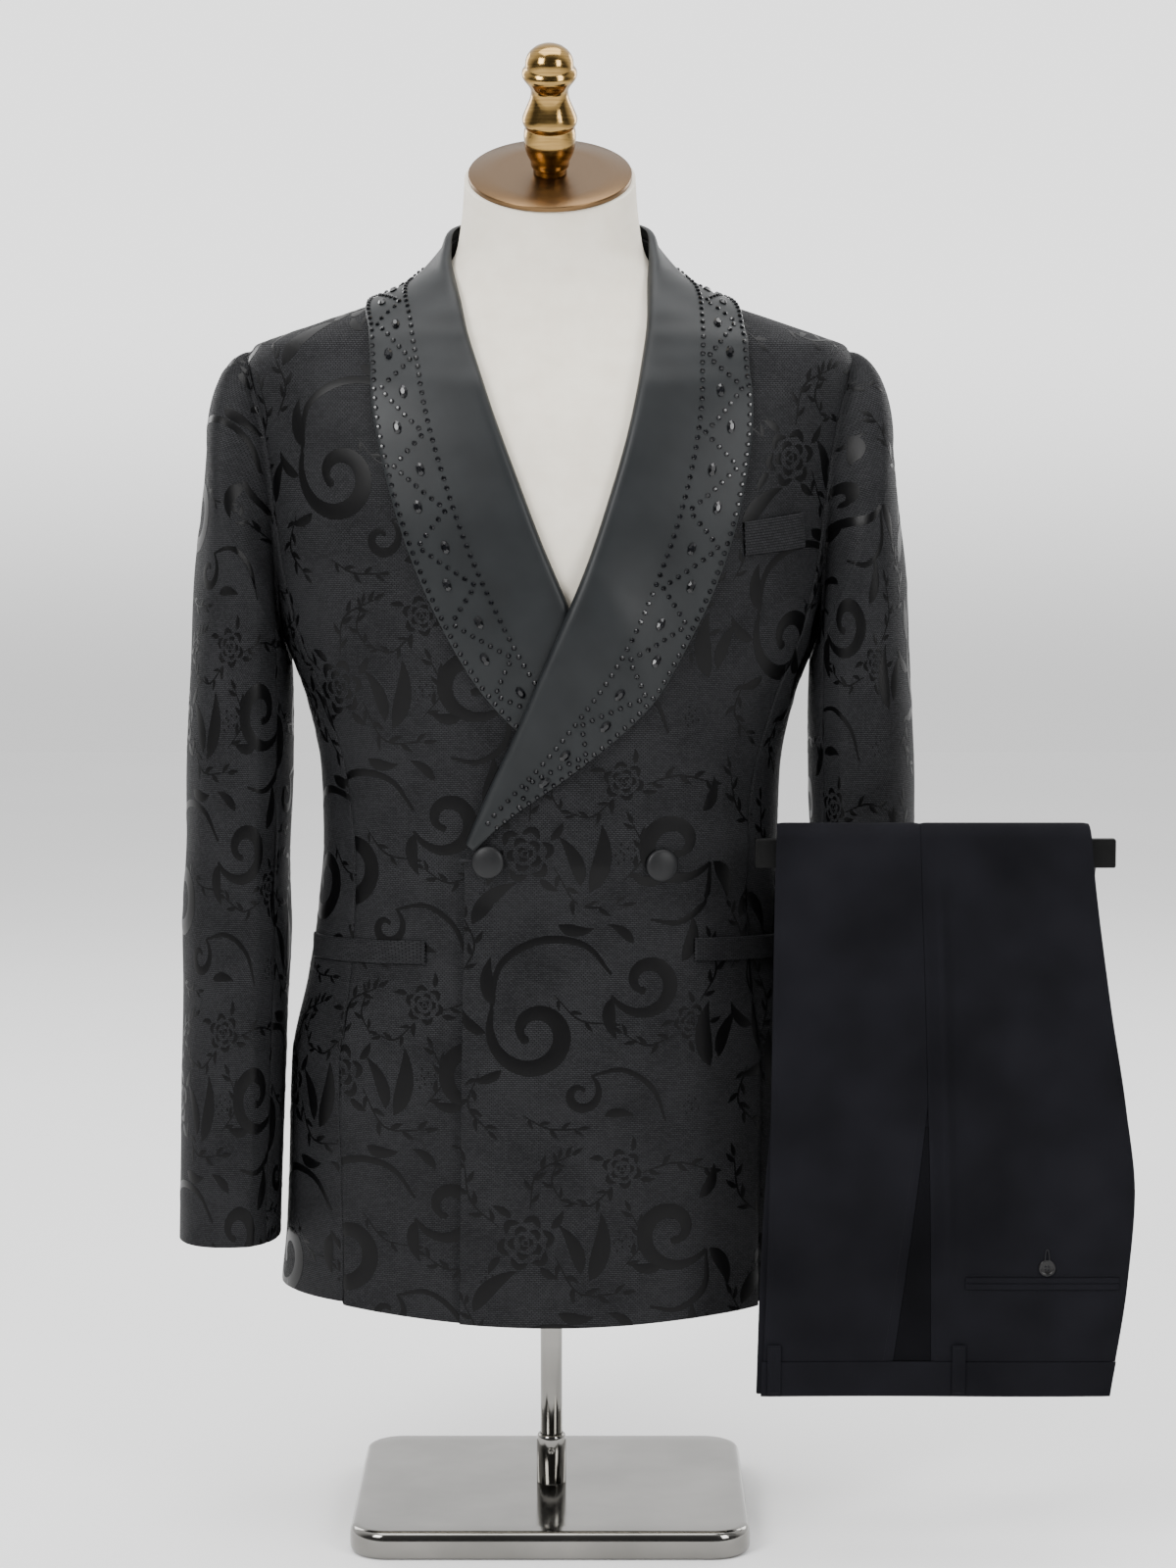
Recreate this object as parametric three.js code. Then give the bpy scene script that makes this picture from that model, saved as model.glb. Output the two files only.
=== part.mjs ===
// A two-piece evening suit: a double-breasted shawl-collar jacket worn by a limbless dress form on a
// chromed stand, with its trousers folded over a flat rail beside it.
// Millimetres, +Z up, the viewer looks along +Y. The origin is on the floor, under the post.
// "Left" and "right" are the wearer's: the left front is on the +X side and laps over the right one.
import * as THREE from "three";

// Jacket sizes
const CLOTH = 2; // jacket wall, outer cloth and canvas together
const SEAM = 0.3; // clear width of a sewn seam
const LAPEL_LAYER = 2; // clear height under a lapel
const SIDE_HEM_Z = 176;
const HEM_DIP = 10; // how much lower the hem hangs at centre front
const SHOULDER_Z = 851; // where the shoulder seam meets the sleeve
const NECK_Z = 904; // where the shoulder seam meets the collar
const BACK_NECK_Z = 908;
const GORGE_Z = 872; // where the front's edge leaves the lapel's roll for the neck
const ARMHOLE = { bottom: 640, front: 50, back: 60, y: 6 };
const CUFF_Z = 213;
const ROLL_RADIUS = 5.5; // how far the rolled edge of a lapel takes to rise
const COVERED_BUTTON = { radius: 11.5, height: 6.5 };

// Stand and form sizes
const BASE = { x: 285, y: 250, z: 20, corner: 28, edge: 6 };
const POST_RADIUS = 8;
const SOCKET = { radius: 10.8, top: 57 };
const CLEAR = 0.3; // between stand pieces that touch
const FORM_BOTTOM = 212;
const ARM_PLATE_X = 188; // the form's flat ends, where arms would start
const CAP = { radius: 58.5, y: 2, z: 972, tilt: THREE.MathUtils.degToRad(28), thickness: 4 };
const CLAMP = { radius: 17, bottom: 153, top: 177 };
const ARM_RADIUS = 5;

// Trouser sizes. Their cloth runs up behind the rail, over it and down in front.
const RAIL = { left: 142, right: 390, front: -138, back: -130, bottom: 494, top: 514 };
const FOLD = { inner: 0.6, under: 5.2, cloth: 5.7, face: 7.1 }; // heights above the rail's faces
const WAIST_SEAM_Z = 151;
const WAIST_Z = 126;
const LEG_HEM_Z = 132;

// Materials, one for each finish
const paint = (color, roughness, metalness = 0) =>
  new THREE.MeshStandardMaterial({ color, roughness, metalness });
const finish = {
  jacquard: paint(0x1b1c1e, 0.75),
  satin: paint(0x22272a, 0.38),
  wool: paint(0x15151a, 0.85),
  linen: paint(0xece6da, 0.9),
  brass: paint(0xb08038, 0.3, 1),
  chrome: paint(0xc4c2be, 0.12, 1),
  blackSteel: paint(0x060606, 0.45, 0.4),
  horn: paint(0x18181b, 0.35),
};

const suit = new THREE.Group();
const { lerp, smoothstep, clamp } = THREE.MathUtils;
const V = (x, y, z) => new THREE.Vector3(x, y, z);

function add(name, geometry, material) {
  const mesh = new THREE.Mesh(geometry, material);
  mesh.name = name;
  suit.add(mesh);
  return mesh;
}

// A smooth monotone curve through a table: value of one column against another
function curve(rows, key, column) {
  const x = rows.map((r) => r[key]);
  const y = rows.map((r) => r[column]);
  const last = x.length - 1;
  const step = x.slice(1).map((v, i) => v - x[i]);
  const rise = step.map((h, i) => (y[i + 1] - y[i]) / h);
  const slope = y.map((_, i) => {
    if (i === 0) return rise[0];
    if (i === last) return rise[last - 1];
    const [p, q] = [rise[i - 1], rise[i]];
    return p * q <= 0 ? 0 : (2 * p * q) / (p + q);
  });
  return (at) => {
    const v = clamp(at, x[0], x[last]);
    let i = 0;
    while (i < last - 1 && v > x[i + 1]) i += 1;
    const h = step[i];
    const t = (v - x[i]) / h;
    const [t2, t3] = [t * t, t * t * t];
    return (
      y[i] * (2 * t3 - 3 * t2 + 1) +
      slope[i] * h * (t3 - 2 * t2 + t) +
      y[i + 1] * (3 * t2 - 2 * t3) +
      slope[i + 1] * h * (t3 - t2)
    );
  };
}

// The figure under the jacket, as level sections: half width, depth to front and back of the side
// line, that line's y, and how square the section is (2 is an ellipse)
const FIGURE = [
  { z: 150, half: 198, front: 117, back: 116, side: 4, square: 2.3 },
  { z: 213, half: 192, front: 116, back: 116, side: 4, square: 2.3 },
  { z: 340, half: 187, front: 114, back: 112, side: 4, square: 2.3 },
  { z: 400, half: 174, front: 111, back: 104, side: 4, square: 2.3 },
  { z: 450, half: 166, front: 109, back: 96, side: 4, square: 2.3 },
  { z: 500, half: 162, front: 108, back: 91, side: 4, square: 2.3 },
  { z: 550, half: 164, front: 110, back: 93, side: 5, square: 2.3 },
  { z: 600, half: 174, front: 114, back: 100, side: 5, square: 2.3 },
  { z: 660, half: 195, front: 118, back: 110, side: 5, square: 2.3 },
  { z: 720, half: 204, front: 119, back: 114, side: 5, square: 2.3 },
  { z: 780, half: 210, front: 111, back: 110, side: 5, square: 2.35 },
  { z: 820, half: 215, front: 97, back: 99, side: 5, square: 2.4 },
  { z: 838, half: 217, front: 87, back: 91, side: 6, square: 2.4 },
  { z: SHOULDER_Z, half: 210, front: 79, back: 84, side: 6, square: 2.4 },
  { z: 857, half: 195, front: 76, back: 81, side: 6, square: 2.4 },
  { z: 864, half: 175, front: 72, back: 77, side: 6, square: 2.35 },
  { z: 871, half: 155, front: 69, back: 74, side: 6, square: 2.3 },
  { z: 880, half: 129, front: 66, back: 70, side: 7, square: 2.25 },
  { z: 889, half: 107, front: 63, back: 67, side: 7, square: 2.15 },
  { z: NECK_Z, half: 84, front: 58, back: 62, side: 8, square: 2.1 },
  { z: 925, half: 71, front: 56, back: 58, side: 8, square: 2 },
  { z: 960, half: 66, front: 54, back: 56, side: 8, square: 2 },
];
const sections = (rows) =>
  Object.fromEntries(["half", "front", "back", "side", "square"].map((c) => [c, curve(rows, "z", c)]));
const figure = sections(FIGURE);

// A point of such sections at an angle (0 is +X, minus a quarter turn is the front) and a height
const powered = (v, power) => Math.sign(v) * Math.abs(v) ** power;
function onSection(table, angle, z) {
  const power = 2 / table.square(z);
  const depth = Math.sin(angle) < 0 ? table.front(z) : table.back(z);
  const x = table.half(z) * powered(Math.cos(angle), power);
  return V(x, table.side(z) + depth * powered(Math.sin(angle), power), z);
}
const onFigure = (angle, z) => onSection(figure, angle, z);

// The angle of a point whose x and y are given, y from the side line
function angleOf(x, y, z) {
  const power = figure.square(z) / 2;
  const depth = y < 0 ? figure.front(z) : figure.back(z);
  return Math.atan2(powered(y / depth, power), powered(x / figure.half(z), power));
}

// A small step along the figure, as a change of angle
function stepAngle(angle, z, length) {
  const d = 0.002;
  const speed = onFigure(angle + d, z).distanceTo(onFigure(angle - d, z)) / (2 * d);
  return length / speed;
}

// The angle where the front of the figure has a given x at a height
function angleAt(x, z) {
  let [low, high] = [0, Math.PI];
  for (let i = 0; i < 40; i += 1) {
    const middle = (low + high) / 2;
    if (onFigure(-middle, z).x > x) low = middle;
    else high = middle;
  }
  return -(low + high) / 2;
}

// How far a point is out of the figure's section at its height, as a share of the section's size
function field(p) {
  const n = figure.square(p.z);
  const y = p.y - figure.side(p.z);
  const depth = y < 0 ? figure.front(p.z) : figure.back(p.z);
  return ((Math.abs(p.x) / figure.half(p.z)) ** n + (Math.abs(y) / depth) ** n) ** (1 / n) - 1;
}

// The way straight out of the figure at a point, and the slope of the field that way
function outwards(p) {
  const e = 0.3;
  const rise = (axis) => {
    const [above, below] = [p.clone(), p.clone()];
    above[axis] += e;
    below[axis] -= e;
    return (field(above) - field(below)) / (2 * e);
  };
  const way = V(rise("x"), rise("y"), rise("z"));
  const slope = way.length();
  return { way: way.normalize(), slope };
}

// The point of the figure under a point near it
function foot(p) {
  const q = p.clone();
  for (let i = 0; i < 8; i += 1) {
    const { way, slope } = outwards(q);
    q.addScaledVector(way, -field(q) / slope);
  }
  return q;
}

// A point moved straight out of the figure by a height
const raised = (p, height) => p.clone().addScaledVector(outwards(p).way, height);
const skin = (angle, z, out = 0) => raised(onFigure(angle, z), out);

// Moves a point out until it is at least a given height above the figure
function lift(p, height) {
  const below = foot(p);
  const now = p.clone().sub(below).dot(outwards(below).way);
  return now < height ? raised(below, height) : p;
}

// A closed wall between two grids of points
function wall(outer, inner) {
  const [rows, cols] = [outer.length, outer[0].length];
  const points = [...outer.flat(), ...inner.flat()];
  const index = [];
  const at = (side, i, j) => side * rows * cols + i * cols + j;
  const quad = (a, b, c, d) => index.push(a, b, c, a, c, d);
  for (let j = 0; j < cols - 1; j += 1) {
    for (let i = 0; i < rows - 1; i += 1) {
      quad(at(0, i, j), at(0, i, j + 1), at(0, i + 1, j + 1), at(0, i + 1, j));
      quad(at(1, i, j), at(1, i + 1, j), at(1, i + 1, j + 1), at(1, i, j + 1));
    }
    quad(at(0, 0, j), at(1, 0, j), at(1, 0, j + 1), at(0, 0, j + 1));
    const top = rows - 1;
    quad(at(0, top, j), at(0, top, j + 1), at(1, top, j + 1), at(1, top, j));
  }
  for (let i = 0; i < rows - 1; i += 1) {
    quad(at(0, i, 0), at(0, i + 1, 0), at(1, i + 1, 0), at(1, i, 0));
    const end = cols - 1;
    quad(at(0, i, end), at(1, i, end), at(1, i + 1, end), at(0, i + 1, end));
  }
  return solid(points, index);
}

// A geometry from points and triangles, turned so that its faces point out
function solid(points, index) {
  let volume = 0;
  for (let i = 0; i < index.length; i += 3) {
    const [a, b, c] = [points[index[i]], points[index[i + 1]], points[index[i + 2]]];
    volume += a.dot(b.clone().cross(c));
  }
  const faces = volume < 0 ? index.slice().reverse() : index;
  const geometry = new THREE.BufferGeometry().setFromPoints(points);
  geometry.setIndex(faces);
  geometry.computeVertexNormals();
  return geometry;
}

// A grid of rows by columns from a function of two shares, 0 to 1
function grid(rows, cols, point) {
  return Array.from({ length: rows + 1 }, (_, i) =>
    Array.from({ length: cols + 1 }, (_unused, j) => point(j / cols, i / rows)),
  );
}

// The inner face of a wall: each point of a grid moved back along the grid's own normal. The
// columns of a tube join up.
function backed(outer, thickness, tube = false) {
  const [rows, cols] = [outer.length, outer[0].length];
  const beside = (j) => (tube ? (j + cols) % cols : clamp(j, 0, cols - 1));
  return outer.map((row, i) =>
    row.map((p, j) => {
      const across = row[beside(j + 1)].clone().sub(row[beside(j - 1)]);
      const up = outer[Math.min(i + 1, rows - 1)][j].clone().sub(outer[Math.max(i - 1, 0)][j]);
      return p.clone().addScaledVector(across.cross(up).normalize(), -thickness);
    }),
  );
}

// A patch of the figure inside four edges, each a function of a share that returns an angle and a
// height. Both ways across the patch are blended, less the blend of the corners.
function patch(edges) {
  const edge = (name) => (share) => onFigure(...edges[name](share));
  const [left, right, bottom, top] = ["left", "right", "bottom", "top"].map(edge);
  return (s, t) => {
    if (s === 0) return left(t);
    if (s === 1) return right(t);
    if (t === 0) return bottom(s);
    if (t === 1) return top(s);
    const across = left(t).lerp(right(t), s);
    const up = bottom(s).lerp(top(s), t);
    const corners = left(0).lerp(right(0), s).lerp(left(1).lerp(right(1), s), t);
    return foot(across.add(up).sub(corners));
  };
}

// Pieces are worked out for the wearer's left and mirrored for the right
const SIDES = { left: 1, right: -1 };
const flipped = (rows, side) =>
  side > 0 ? rows : rows.map((row) => row.map((p) => V(-p.x, p.y, p.z)));

// A jacket panel: the patch laid on the figure, lifted by the layer it lies on, one cloth thick
function panel(name, side, edges, rows, cols, layer = () => 0) {
  const place = patch(edges);
  const base = grid(rows, cols, place);
  const face = (out) => base.map((row) => row.map((p) => raised(p, layer(p.x, p.z) + out)));
  add(name, wall(flipped(face(CLOTH), side), flipped(face(0), side)), finish.jacquard);
}

// Seams, armholes and hem

const SIDE_SEAMS = [
  { z: 150, front: 0.78, back: 0.89 },
  { z: 500, front: 0.61, back: 0.85 },
  { z: 600, front: 0.48, back: 0.63 },
  { z: 700, front: 0.39, back: 0.44 },
];
const sideSeam = { [-1]: curve(SIDE_SEAMS, "z", "front"), [1]: curve(SIDE_SEAMS, "z", "back") };
// Half a seam as an angle: beside a side seam, at the shoulder line, and at the centre back
const besideSeam = (angle, z) => stepAngle(angle, z, SEAM / 2);
const besideShoulder = (z) => angleOf(figure.half(z), SEAM / 2, z);
const besideCentre = (z) => Math.PI / 2 - angleOf(SEAM / 2, figure.back(z), z);

// Hem height at an angle: level at the sides and back, dipping at the front
const hemZ = (angle) => SIDE_HEM_Z - (Math.sin(angle) < 0 ? HEM_DIP * Math.sin(angle) ** 4 : 0);

// The armhole is an oval seen from the side. Turn 0 is its top, minus a quarter turn its front.
const armholeMiddle = (SHOULDER_Z + ARMHOLE.bottom) / 2;
const armholeRadius = (SHOULDER_Z - ARMHOLE.bottom) / 2;
function armhole(turn, grow = 0) {
  const z = armholeMiddle + (armholeRadius + grow) * Math.cos(turn);
  const reach = (Math.sin(turn) < 0 ? ARMHOLE.front : ARMHOLE.back) + grow;
  const y = ARMHOLE.y + reach * Math.sin(turn) - figure.side(z);
  const depth = y < 0 ? figure.front(z) : figure.back(z);
  const n = figure.square(z);
  const x = figure.half(z) * (1 - (Math.abs(y) / depth) ** n) ** (1 / n);
  return [angleOf(x, y, z), z];
}

// The turn of the oval where a side seam runs into it. face is -1 in front and 1 behind.
function seamTurn(face) {
  let [low, high] = [Math.PI / 2, Math.PI];
  for (let i = 0; i < 40; i += 1) {
    const middle = (low + high) / 2;
    const [angle, z] = armhole(face * middle);
    if (Math.abs(angle) > sideSeam[face](z)) low = middle;
    else high = middle;
  }
  return (face * (low + high)) / 2;
}
const SEAM_TURN = { [-1]: seamTurn(-1), [1]: seamTurn(1) };

// Rows and columns shared by pieces that meet, so that their edges follow the same points
const SEAM_ROWS = 10; // hem to armhole
const ARM_ROWS = 11; // armhole to shoulder, in front and behind
const UNDERARM_COLS = 6;
const PANEL_ROWS = SEAM_ROWS + ARM_ROWS;
const seamShare = SEAM_ROWS / PANEL_ROWS;

// A point on a side seam. gap is 1 for the front or back panel and -1 for the side panel.
function onSeam(face, share, gap) {
  const bottom = hemZ(face * sideSeam[face](SIDE_HEM_Z));
  const z = lerp(bottom, armhole(SEAM_TURN[face], SEAM / 2)[1], share);
  const angle = sideSeam[face](z);
  return [face * (angle + gap * besideSeam(angle, z)), z];
}

// The outer edge of a front or back panel: up the side seam, then round the armhole
function outerEdge(face) {
  return (t) => {
    if (t <= seamShare) return onSeam(face, t / seamShare, 1);
    const turn = lerp(SEAM_TURN[face], 0, (t - seamShare) / (1 - seamShare));
    const [angle, z] = armhole(turn, SEAM / 2);
    return [face * Math.max(Math.abs(angle), besideShoulder(z)), z];
  };
}

// The shoulder seam from the neck out
const shoulderSeam = (face) => (s) => {
  const z = lerp(NECK_Z, armhole(0, SEAM / 2)[1], s ** 1.2);
  return [face * besideShoulder(z), z];
};

// Front edge and lapel. Distances are from the line where the fronts cross, towards the wearer's
// own side: the wrap pulls that line to the wearer's left at the waist.
const CENTRE_LINE = [
  { z: 690, x: 14 },
  { z: 776, x: 11.5 },
  { z: 845, x: 6.5 },
  { z: 879, x: 4 },
  { z: 913, x: 1 },
  { z: 940, x: 0 },
];
const centreLine = curve(CENTRE_LINE, "z", "x");

const FRONT_EDGE = [
  { z: 150, d: -77 },
  { z: 495, d: -71 },
  { z: 512, d: -63 },
  { z: 544, d: -48.5 },
  { z: 584, d: -29.5 },
  { z: 626, d: -11.5 },
  { z: 670, d: 6.5 },
  { z: 713, d: 25 },
  { z: 761, d: 42 },
  { z: 791, d: 52 },
  { z: 815, d: 58.5 },
  { z: 848, d: 66 },
  { z: 872, d: 71 },
];
const frontEdge = curve(FRONT_EDGE, "z", "d");

// The lapel's roll and outer edge on the chest, in pairs of points across the lapel
const LAPEL = [
  { share: 0, roll: -69, rollZ: 508, edge: -64, edgeZ: 503 },
  { share: 0.04, roll: -61, rollZ: 528, edge: -48, edgeZ: 523 },
  { share: 0.08, roll: -54, rollZ: 546, edge: -30, edgeZ: 534 },
  { share: 0.15, roll: -40, rollZ: 575, edge: 0, edgeZ: 556 },
  { share: 0.23, roll: -25, rollZ: 610, edge: 31, edgeZ: 582 },
  { share: 0.31, roll: -10, rollZ: 645, edge: 60, edgeZ: 611 },
  { share: 0.39, roll: 5, rollZ: 681, edge: 83, edgeZ: 650 },
  { share: 0.46, roll: 19, rollZ: 714, edge: 101, edgeZ: 687 },
  { share: 0.53, roll: 31, rollZ: 750, edge: 115, edgeZ: 727 },
  { share: 0.59, roll: 42, rollZ: 781, edge: 125, edgeZ: 768 },
  { share: 0.65, roll: 52, rollZ: 815, edge: 131, edgeZ: 806 },
  { share: 0.7, roll: 60, rollZ: 848, edge: 130, edgeZ: 838 },
  { share: 0.75, roll: 65.5, rollZ: 879, edge: 127, edgeZ: 862 },
];
// The same round the neck, as angles from the side of the figure
const COLLAR = [
  { share: 0.8, roll: -0.42, rollZ: 912, edge: 0.02, edgeZ: 882 },
  { share: 0.86, roll: 0.1, rollZ: 935, edge: 0.4, edgeZ: 887 },
  { share: 0.93, roll: 0.85, rollZ: 943, edge: 0.95, edgeZ: 893 },
  { share: 1, roll: Math.PI / 2, rollZ: 945, edge: Math.PI / 2, edgeZ: 896 },
];

// The shawl's lines for one side, as angles and heights on the figure
function shawlLines(side) {
  const onChest = (d, z) => angleAt(d + side * centreLine(z), z);
  const rows = LAPEL.map((r) => ({
    ...r,
    roll: onChest(r.roll, r.rollZ),
    edge: onChest(r.edge, r.edgeZ),
  }));
  rows.push(...COLLAR);
  const column = (name) => curve(rows, "share", name);
  const [roll, rollZ, edge, edgeZ] = ["roll", "rollZ", "edge", "edgeZ"].map(column);
  return { roll: (t) => onFigure(roll(t), rollZ(t)), edge: (t) => onFigure(edge(t), edgeZ(t)) };
}

// How far the left front is raised by what it laps over: the right front, and higher up the right
// lapel too
const WRAP = {
  past: 30, // stays fully raised this far past the other front's edge
  settle: 50, // and comes down over this width
  low: CLOTH + LAPEL_LAYER,
  high: 2 * (CLOTH + LAPEL_LAYER) + 0.6,
};
function wrapHeight(x, z) {
  const reach = centreLine(z) - frontEdge(z) + WRAP.past;
  const across = 1 - smoothstep(x, reach, reach + WRAP.settle);
  const height = lerp(WRAP.low, WRAP.high, smoothstep(z, 462, 494));
  return height * across * (1 - smoothstep(z, 660, 745));
}

// Fronts
const FRONT_COLS = 10;
const NECK_SHARE = 0.8;
const CHEST_Z = 610; // where a panel's rows reach the underarm at their other end
for (const [name, side] of Object.entries(SIDES)) {
  const innerEdge = (t) => {
    const low = SIDE_HEM_Z - HEM_DIP;
    const upper = clamp((t - seamShare) / (NECK_SHARE - seamShare), 0, 1);
    const z = t < seamShare ? lerp(low, CHEST_Z, t / seamShare) : lerp(CHEST_Z, GORGE_Z, upper);
    const angle = angleAt(frontEdge(z) + side * centreLine(z), z);
    if (t <= NECK_SHARE) return [angle, Math.max(z, hemZ(angle))];
    const rise = (t - NECK_SHARE) / (1 - NECK_SHARE);
    return [lerp(angle, -besideShoulder(NECK_Z), rise), lerp(GORGE_Z, NECK_Z, rise)];
  };
  const [first, last] = [innerEdge(0)[0], outerEdge(-1)(0)[0]];
  const bottom = (s) => [lerp(first, last, s), hemZ(lerp(first, last, s))];
  const edges = { left: innerEdge, right: outerEdge(-1), bottom, top: shoulderSeam(-1) };
  panel(`front_${name}`, side, edges, PANEL_ROWS, FRONT_COLS, side > 0 ? wrapHeight : undefined);
}

// Side bodies, up to the underarm
for (const [name, side] of Object.entries(SIDES)) {
  const [left, right] = [(t) => onSeam(-1, t, -1), (t) => onSeam(1, t, -1)];
  const bottom = (s) => [lerp(left(0)[0], right(0)[0], s), SIDE_HEM_Z];
  const top = (s) => {
    const turn = lerp(SEAM_TURN[-1], SEAM_TURN[1] - 2 * Math.PI, s);
    const [angle, z] = armhole(turn, SEAM / 2);
    const beside = besideSeam(angle, z);
    return [angle + lerp(beside, -beside, s), z];
  };
  panel(`side_${name}`, side, { left, right, bottom, top }, SEAM_ROWS, UNDERARM_COLS);
}

// Backs, with the centre back seam, the back neck and the shoulder seam
const BACK_COLS = 10;
const BACK_NECK_COLS = 4;
for (const [name, side] of Object.entries(SIDES)) {
  const centre = (z) => Math.PI / 2 - besideCentre(z);
  const left = (t) => {
    const upper = (t - seamShare) / (1 - seamShare);
    const z = upper < 0 ? lerp(SIDE_HEM_Z, CHEST_Z, t / seamShare) : lerp(CHEST_Z, BACK_NECK_Z, upper);
    return [centre(z), z];
  };
  const last = outerEdge(1)(0)[0];
  const bottom = (s) => [lerp(centre(SIDE_HEM_Z), last, s), SIDE_HEM_Z];
  const neckShare = BACK_NECK_COLS / BACK_COLS;
  const top = (s) => {
    if (s > neckShare) return shoulderSeam(1)((s - neckShare) / (1 - neckShare));
    const share = s / neckShare;
    const angle = lerp(centre(BACK_NECK_Z), besideShoulder(NECK_Z), share);
    return [angle, lerp(BACK_NECK_Z, NECK_Z, share)];
  };
  panel(`back_${name}`, side, { left, right: outerEdge(1), bottom, top }, PANEL_ROWS, BACK_COLS);
}

// Sleeves: level sections given by how far they reach to the body, outwards, forwards and back
const SLEEVE = [
  { z: 213, medial: 196.5, lateral: 269, front: -74, back: 22 },
  { z: 260, medial: 195, lateral: 268, front: -74, back: 27 },
  { z: 340, medial: 192, lateral: 266.5, front: -73, back: 36 },
  { z: 425, medial: 189, lateral: 265, front: -71, back: 46 },
  { z: 510, medial: 187.5, lateral: 263, front: -69, back: 53 },
  { z: 595, medial: 186, lateral: 260, front: -68, back: 61 },
  { z: 640, medial: 187, lateral: 257, front: -67, back: 65 },
  { z: 690, medial: 188, lateral: 255, front: -66, back: 67 },
  { z: 740, medial: 189, lateral: 250, front: -65, back: 67 },
  { z: 800, medial: 190, lateral: 244, front: -60, back: 62 },
];
const SLEEVE_SQUARE = 2.35;
const sleeve = Object.fromEntries(
  ["medial", "lateral", "front", "back"].map((c) => [c, curve(SLEEVE, "z", c)]),
);
const HEAD_RISE = { top: 62, underarm: 14 }; // height over which the sleeve bends to the armhole
const TUBE_ROWS = 6;
const HEAD_ROWS = 4;

function sleeveTube(turn, z) {
  const share = (v) => (1 + powered(v, 2 / SLEEVE_SQUARE)) / 2;
  const x = lerp(sleeve.medial(z), sleeve.lateral(z), share(Math.cos(turn)));
  const y = lerp(sleeve.front(z), sleeve.back(z), share(Math.sin(turn)));
  return V(x, y, z);
}

// The last two rings of a sleeve, against the armhole's edge. At the underarm they fold over the
// top of the side panel.
function sleeveEnd(turn) {
  const fold = smoothstep(Math.abs(Math.PI - Math.abs(turn)), 0.5, 1.2); // 0 at the underarm
  const at = (inside, out) => skin(...armhole(turn, -SEAM / 2 - inside), out);
  return {
    seam: [at(0, CLOTH), at(lerp(1.6, 0, fold), 0)],
    bend: [
      at(lerp(0.1, 3, fold), lerp(CLOTH + 0.8, CLOTH, fold)),
      at(lerp(2.6, 3, fold), lerp(CLOTH + 0.8, 0, fold)),
    ],
  };
}

// All turns of a sleeve's columns: up the front, down the back, and round the underarm
const sleeveTurns = [
  ...Array.from({ length: ARM_ROWS }, (_, i) => lerp(SEAM_TURN[-1], 0, i / ARM_ROWS)),
  ...Array.from({ length: ARM_ROWS }, (_, i) => lerp(0, SEAM_TURN[1], i / ARM_ROWS)),
  ...Array.from({ length: UNDERARM_COLS }, (_, i) =>
    lerp(SEAM_TURN[1], SEAM_TURN[-1] + 2 * Math.PI, i / UNDERARM_COLS),
  ),
];

function sleeveColumn(turn) {
  const { seam, bend } = sleeveEnd(turn);
  const lean = ((1 + Math.cos(turn)) / 2) ** 1.3;
  const startZ = bend[0].z - lerp(HEAD_RISE.underarm, HEAD_RISE.top, lean);
  const start = sleeveTube(turn, startZ);
  const column = [];
  for (let i = 0; i <= TUBE_ROWS; i += 1) {
    column.push(lift(sleeveTube(turn, lerp(CUFF_Z, startZ, i / TUBE_ROWS)), CLOTH + 1.6));
  }
  for (let i = 1; i < HEAD_ROWS; i += 1) {
    const a = ((Math.PI / 2) * i) / HEAD_ROWS;
    const p = start.clone().lerp(bend[0], 1 - Math.cos(a));
    p.z = lerp(start.z, bend[0].z, Math.sin(a));
    column.push(lift(p, CLOTH + 1.4));
  }
  return { column, seam, bend };
}

// Draws the first and last columns of a part of a tube in by half a seam
function parted(rows) {
  const moved = (p, towards) => p.clone().add(towards.clone().sub(p).setLength(0.8 * SEAM));
  return rows.map((row) => {
    const last = row.length - 1;
    return [moved(row[0], row[1]), ...row.slice(1, last), moved(row[last], row[last - 1])];
  });
}

// Upper and under sleeve, parted behind the arm and, in front, inside the pressed edge
const BACK_SEAM_COLUMN = 2 * ARM_ROWS - 1;
const FRONT_SEAM_COLUMN = sleeveTurns.length - 2;
for (const [name, side] of Object.entries(SIDES)) {
  const columns = sleeveTurns.map(sleeveColumn);
  const outer = columns[0].column.map((_, i) => columns.map((c) => c.column[i]));
  outer.push(...["bend", "seam"].map((end) => columns.map((c) => c[end][0])));
  const inner = backed(outer, CLOTH, true);
  inner.splice(-2, 2, ...["bend", "seam"].map((end) => columns.map((c) => c[end][1])));
  const parts = {
    upper: (row) => [...row.slice(FRONT_SEAM_COLUMN), ...row.slice(0, BACK_SEAM_COLUMN + 1)],
    under: (row) => row.slice(BACK_SEAM_COLUMN, FRONT_SEAM_COLUMN + 1),
  };
  for (const [part, pick] of Object.entries(parts)) {
    const [out, back] = [outer, inner].map((face) => flipped(parted(face.map(pick)), side));
    add(`sleeve_${part}_${name}`, wall(out, back), finish.jacquard);
  }
}

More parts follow.
